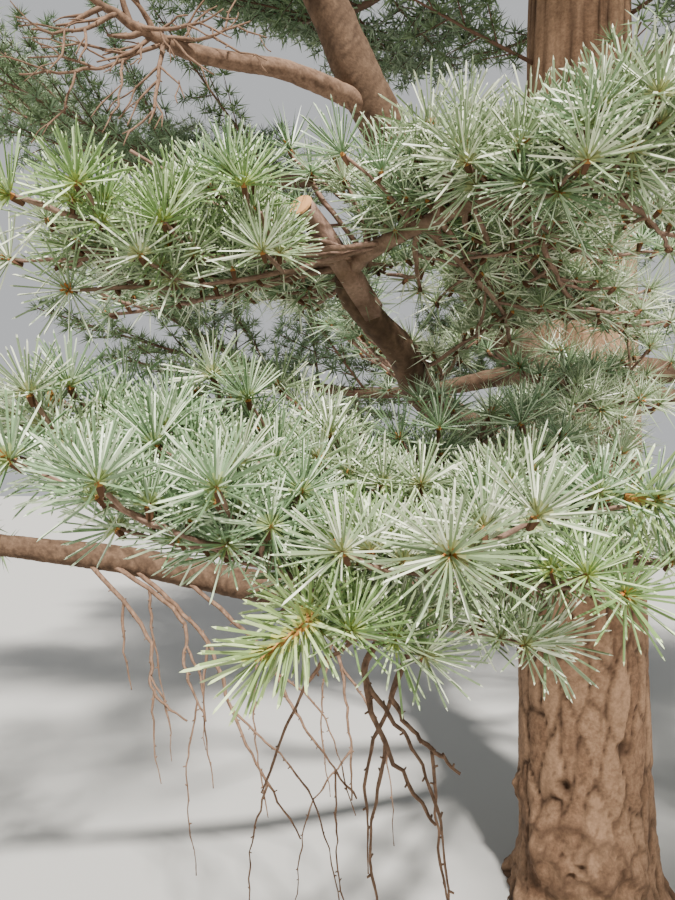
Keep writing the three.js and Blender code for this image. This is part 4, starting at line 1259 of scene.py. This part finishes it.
spur_rows = tuft_rows.copy()
spur_rows[:, 7] = 0
spur_finish = {
    "Upper": plain_finish("bud scales", "#9A6A35", 0.7, 0.3),
    "Under": plain_finish("spur bark", "#553C2B", 0.85, 0.2),
}
spurs = dressed("near_spurs", spur_rows, spur_kinds, spur_finish)
for thing, slot in ((singles, "needles"), (dry, "needles"), (spurs, "bough_bark")):
    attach(thing, "root")
    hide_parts(*near_nodes)

# Dead twigs: bare, brittle and crooked, with the stubs of their old spurs still on them.
# Some end the bare bough, and some hang under the front bough and the low one.
TRUNK_EDGE = 500  # the photograph shows no dead twig across the trunk, so no fork reaches past here
STUB_STEP = 0.03
BARE_TWIGS = [  # share of the bough's end, then the place in the picture and the depth of the twig's tip
    (0.02, 20, 75, 0.76), (0.06, 150, 125, 0.8), (0.3, 225, 10, 0.8),
    (0.5, 30, 30, 0.74), (0.1, 250, 20, 0.86), (0.15, 95, 60, 0.8),
]
HANGING_TWIGS = [  # the bough's line and the share along it, then places in the picture with their depths
    (front_line, 0.38, "twigs_under_front", [(368, 660, 0.6), (385, 740, 0.58), (436, 828, 0.56)]),
    (front_line, 0.3, "twigs_under_front", [(392, 690, 0.66), (418, 735, 0.64), (458, 772, 0.62)]),
    (low_line, 0.4, "twigs_under_low", [(205, 640, 1.06), (240, 730, 1.0), (300, 840, 0.96)]),
    (low_line, 0.47, "twigs_under_low", [(150, 640, 1.04), (152, 690, 1.02), (187, 722, 1.0)]),
    (low_line, 0.44, "twigs_under_low", [(182, 620, 1.05), (186, 670, 1.03), (206, 722, 1.0)]),
    (low_line, 0.34, "twigs_under_low", [(262, 650, 1.1), (300, 720, 1.05), (358, 800, 1.0)]),
    (low_line, 0.25, "twigs_under_low", [(330, 640, 1.16), (348, 720, 1.12), (352, 800, 1.1)]),
]
dead_runs = {"twigs_bare": [], "twigs_under_front": [], "twigs_under_low": []}


def dead_twig(node, points, radius, seed, forks, drop):
    """A crooked twig through points, with stubs along it and forks that hang from it."""
    line = Line(points)
    length = line.length()
    count = max(4, int(length / 0.014))
    s = np.linspace(0, 1, count)
    wander = strewn(seed, np.arange(count), (0, 40, 80))
    path = line.at(s) + wander * 0.0045 * np.minimum(1, 6 * s)[:, None]
    dead_runs[node].append((path, mix(radius, max(0.0008, radius * 0.35), s)))
    for k in range(int(length / STUB_STEP)):
        share = (k + 0.3 + 0.6 * scatter(seed, k + 120)) / (length / STUB_STEP)
        base = path[int(share * (count - 1))]
        out = unit(strewn(seed, k, (140, 160, 180)))
        stub = np.stack([base, base + out * (radius * mix(1, 0.3, share) + 0.0035)])
        dead_runs[node].append((stub, np.array([0.0012, 0.0009])))
    for k in range(forks):
        share = mix(0.18, 0.9, (k + scatter(seed, k + 200)) / forks)
        base = path[int(share * (count - 1))]
        along = line.along(share)
        side = unit(np.cross(along, [0.2, 1, 0.1])) * (1 if k % 2 else -1)
        way = unit(along + side * mix(0.4, 1.0, scatter(seed, k + 220)) - UP * drop)
        reach = length * mix(0.3, 0.6, scatter(seed, k + 240))
        bend = base + way * reach * 0.5 + side * 0.1 * reach
        tip = base + way * reach - UP * drop * 0.35 * reach
        if node == "twigs_under_front" and picture_place(tip)[0] > TRUNK_EDGE:
            continue
        dead_twig(node, [base, bend, tip], radius * mix(0.7, 0.4, share), seed * 3 + k, forks // 4, drop)


bare_stem = bare_line.part(0.7, 1)
dead_twig("twigs_bare", bare_stem.at(np.linspace(0, 1, 5)), 0.0085, 11, 5, 0.1)
for k, (share, *place) in enumerate(BARE_TWIGS):
    start, end = bare_stem.at(share), seen(*place)
    dead_twig("twigs_bare", [start, (start + end) / 2 - UP * 0.012, end], 0.0034, 20 + k, 5, 0.1)
for k, (line, share, node, places) in enumerate(HANGING_TWIGS):
    points = [line.at(share), *(seen(*place) for place in places)]
    dead_twig(node, points, 0.0042, 40 + k, 3, 0.8)
dead_values = {"Sides": 7, "Step": 0.005, "Scale size": 0.005, "Relief": 0.0003, "Bark": dead_bark}
for node, runs in dead_runs.items():
    twigs = grow(node + "_wood", lines_mesh(node, runs), limb_rule, dead_values)
    twigs.data.shade_smooth()
    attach(twigs, "root")
    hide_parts(node)
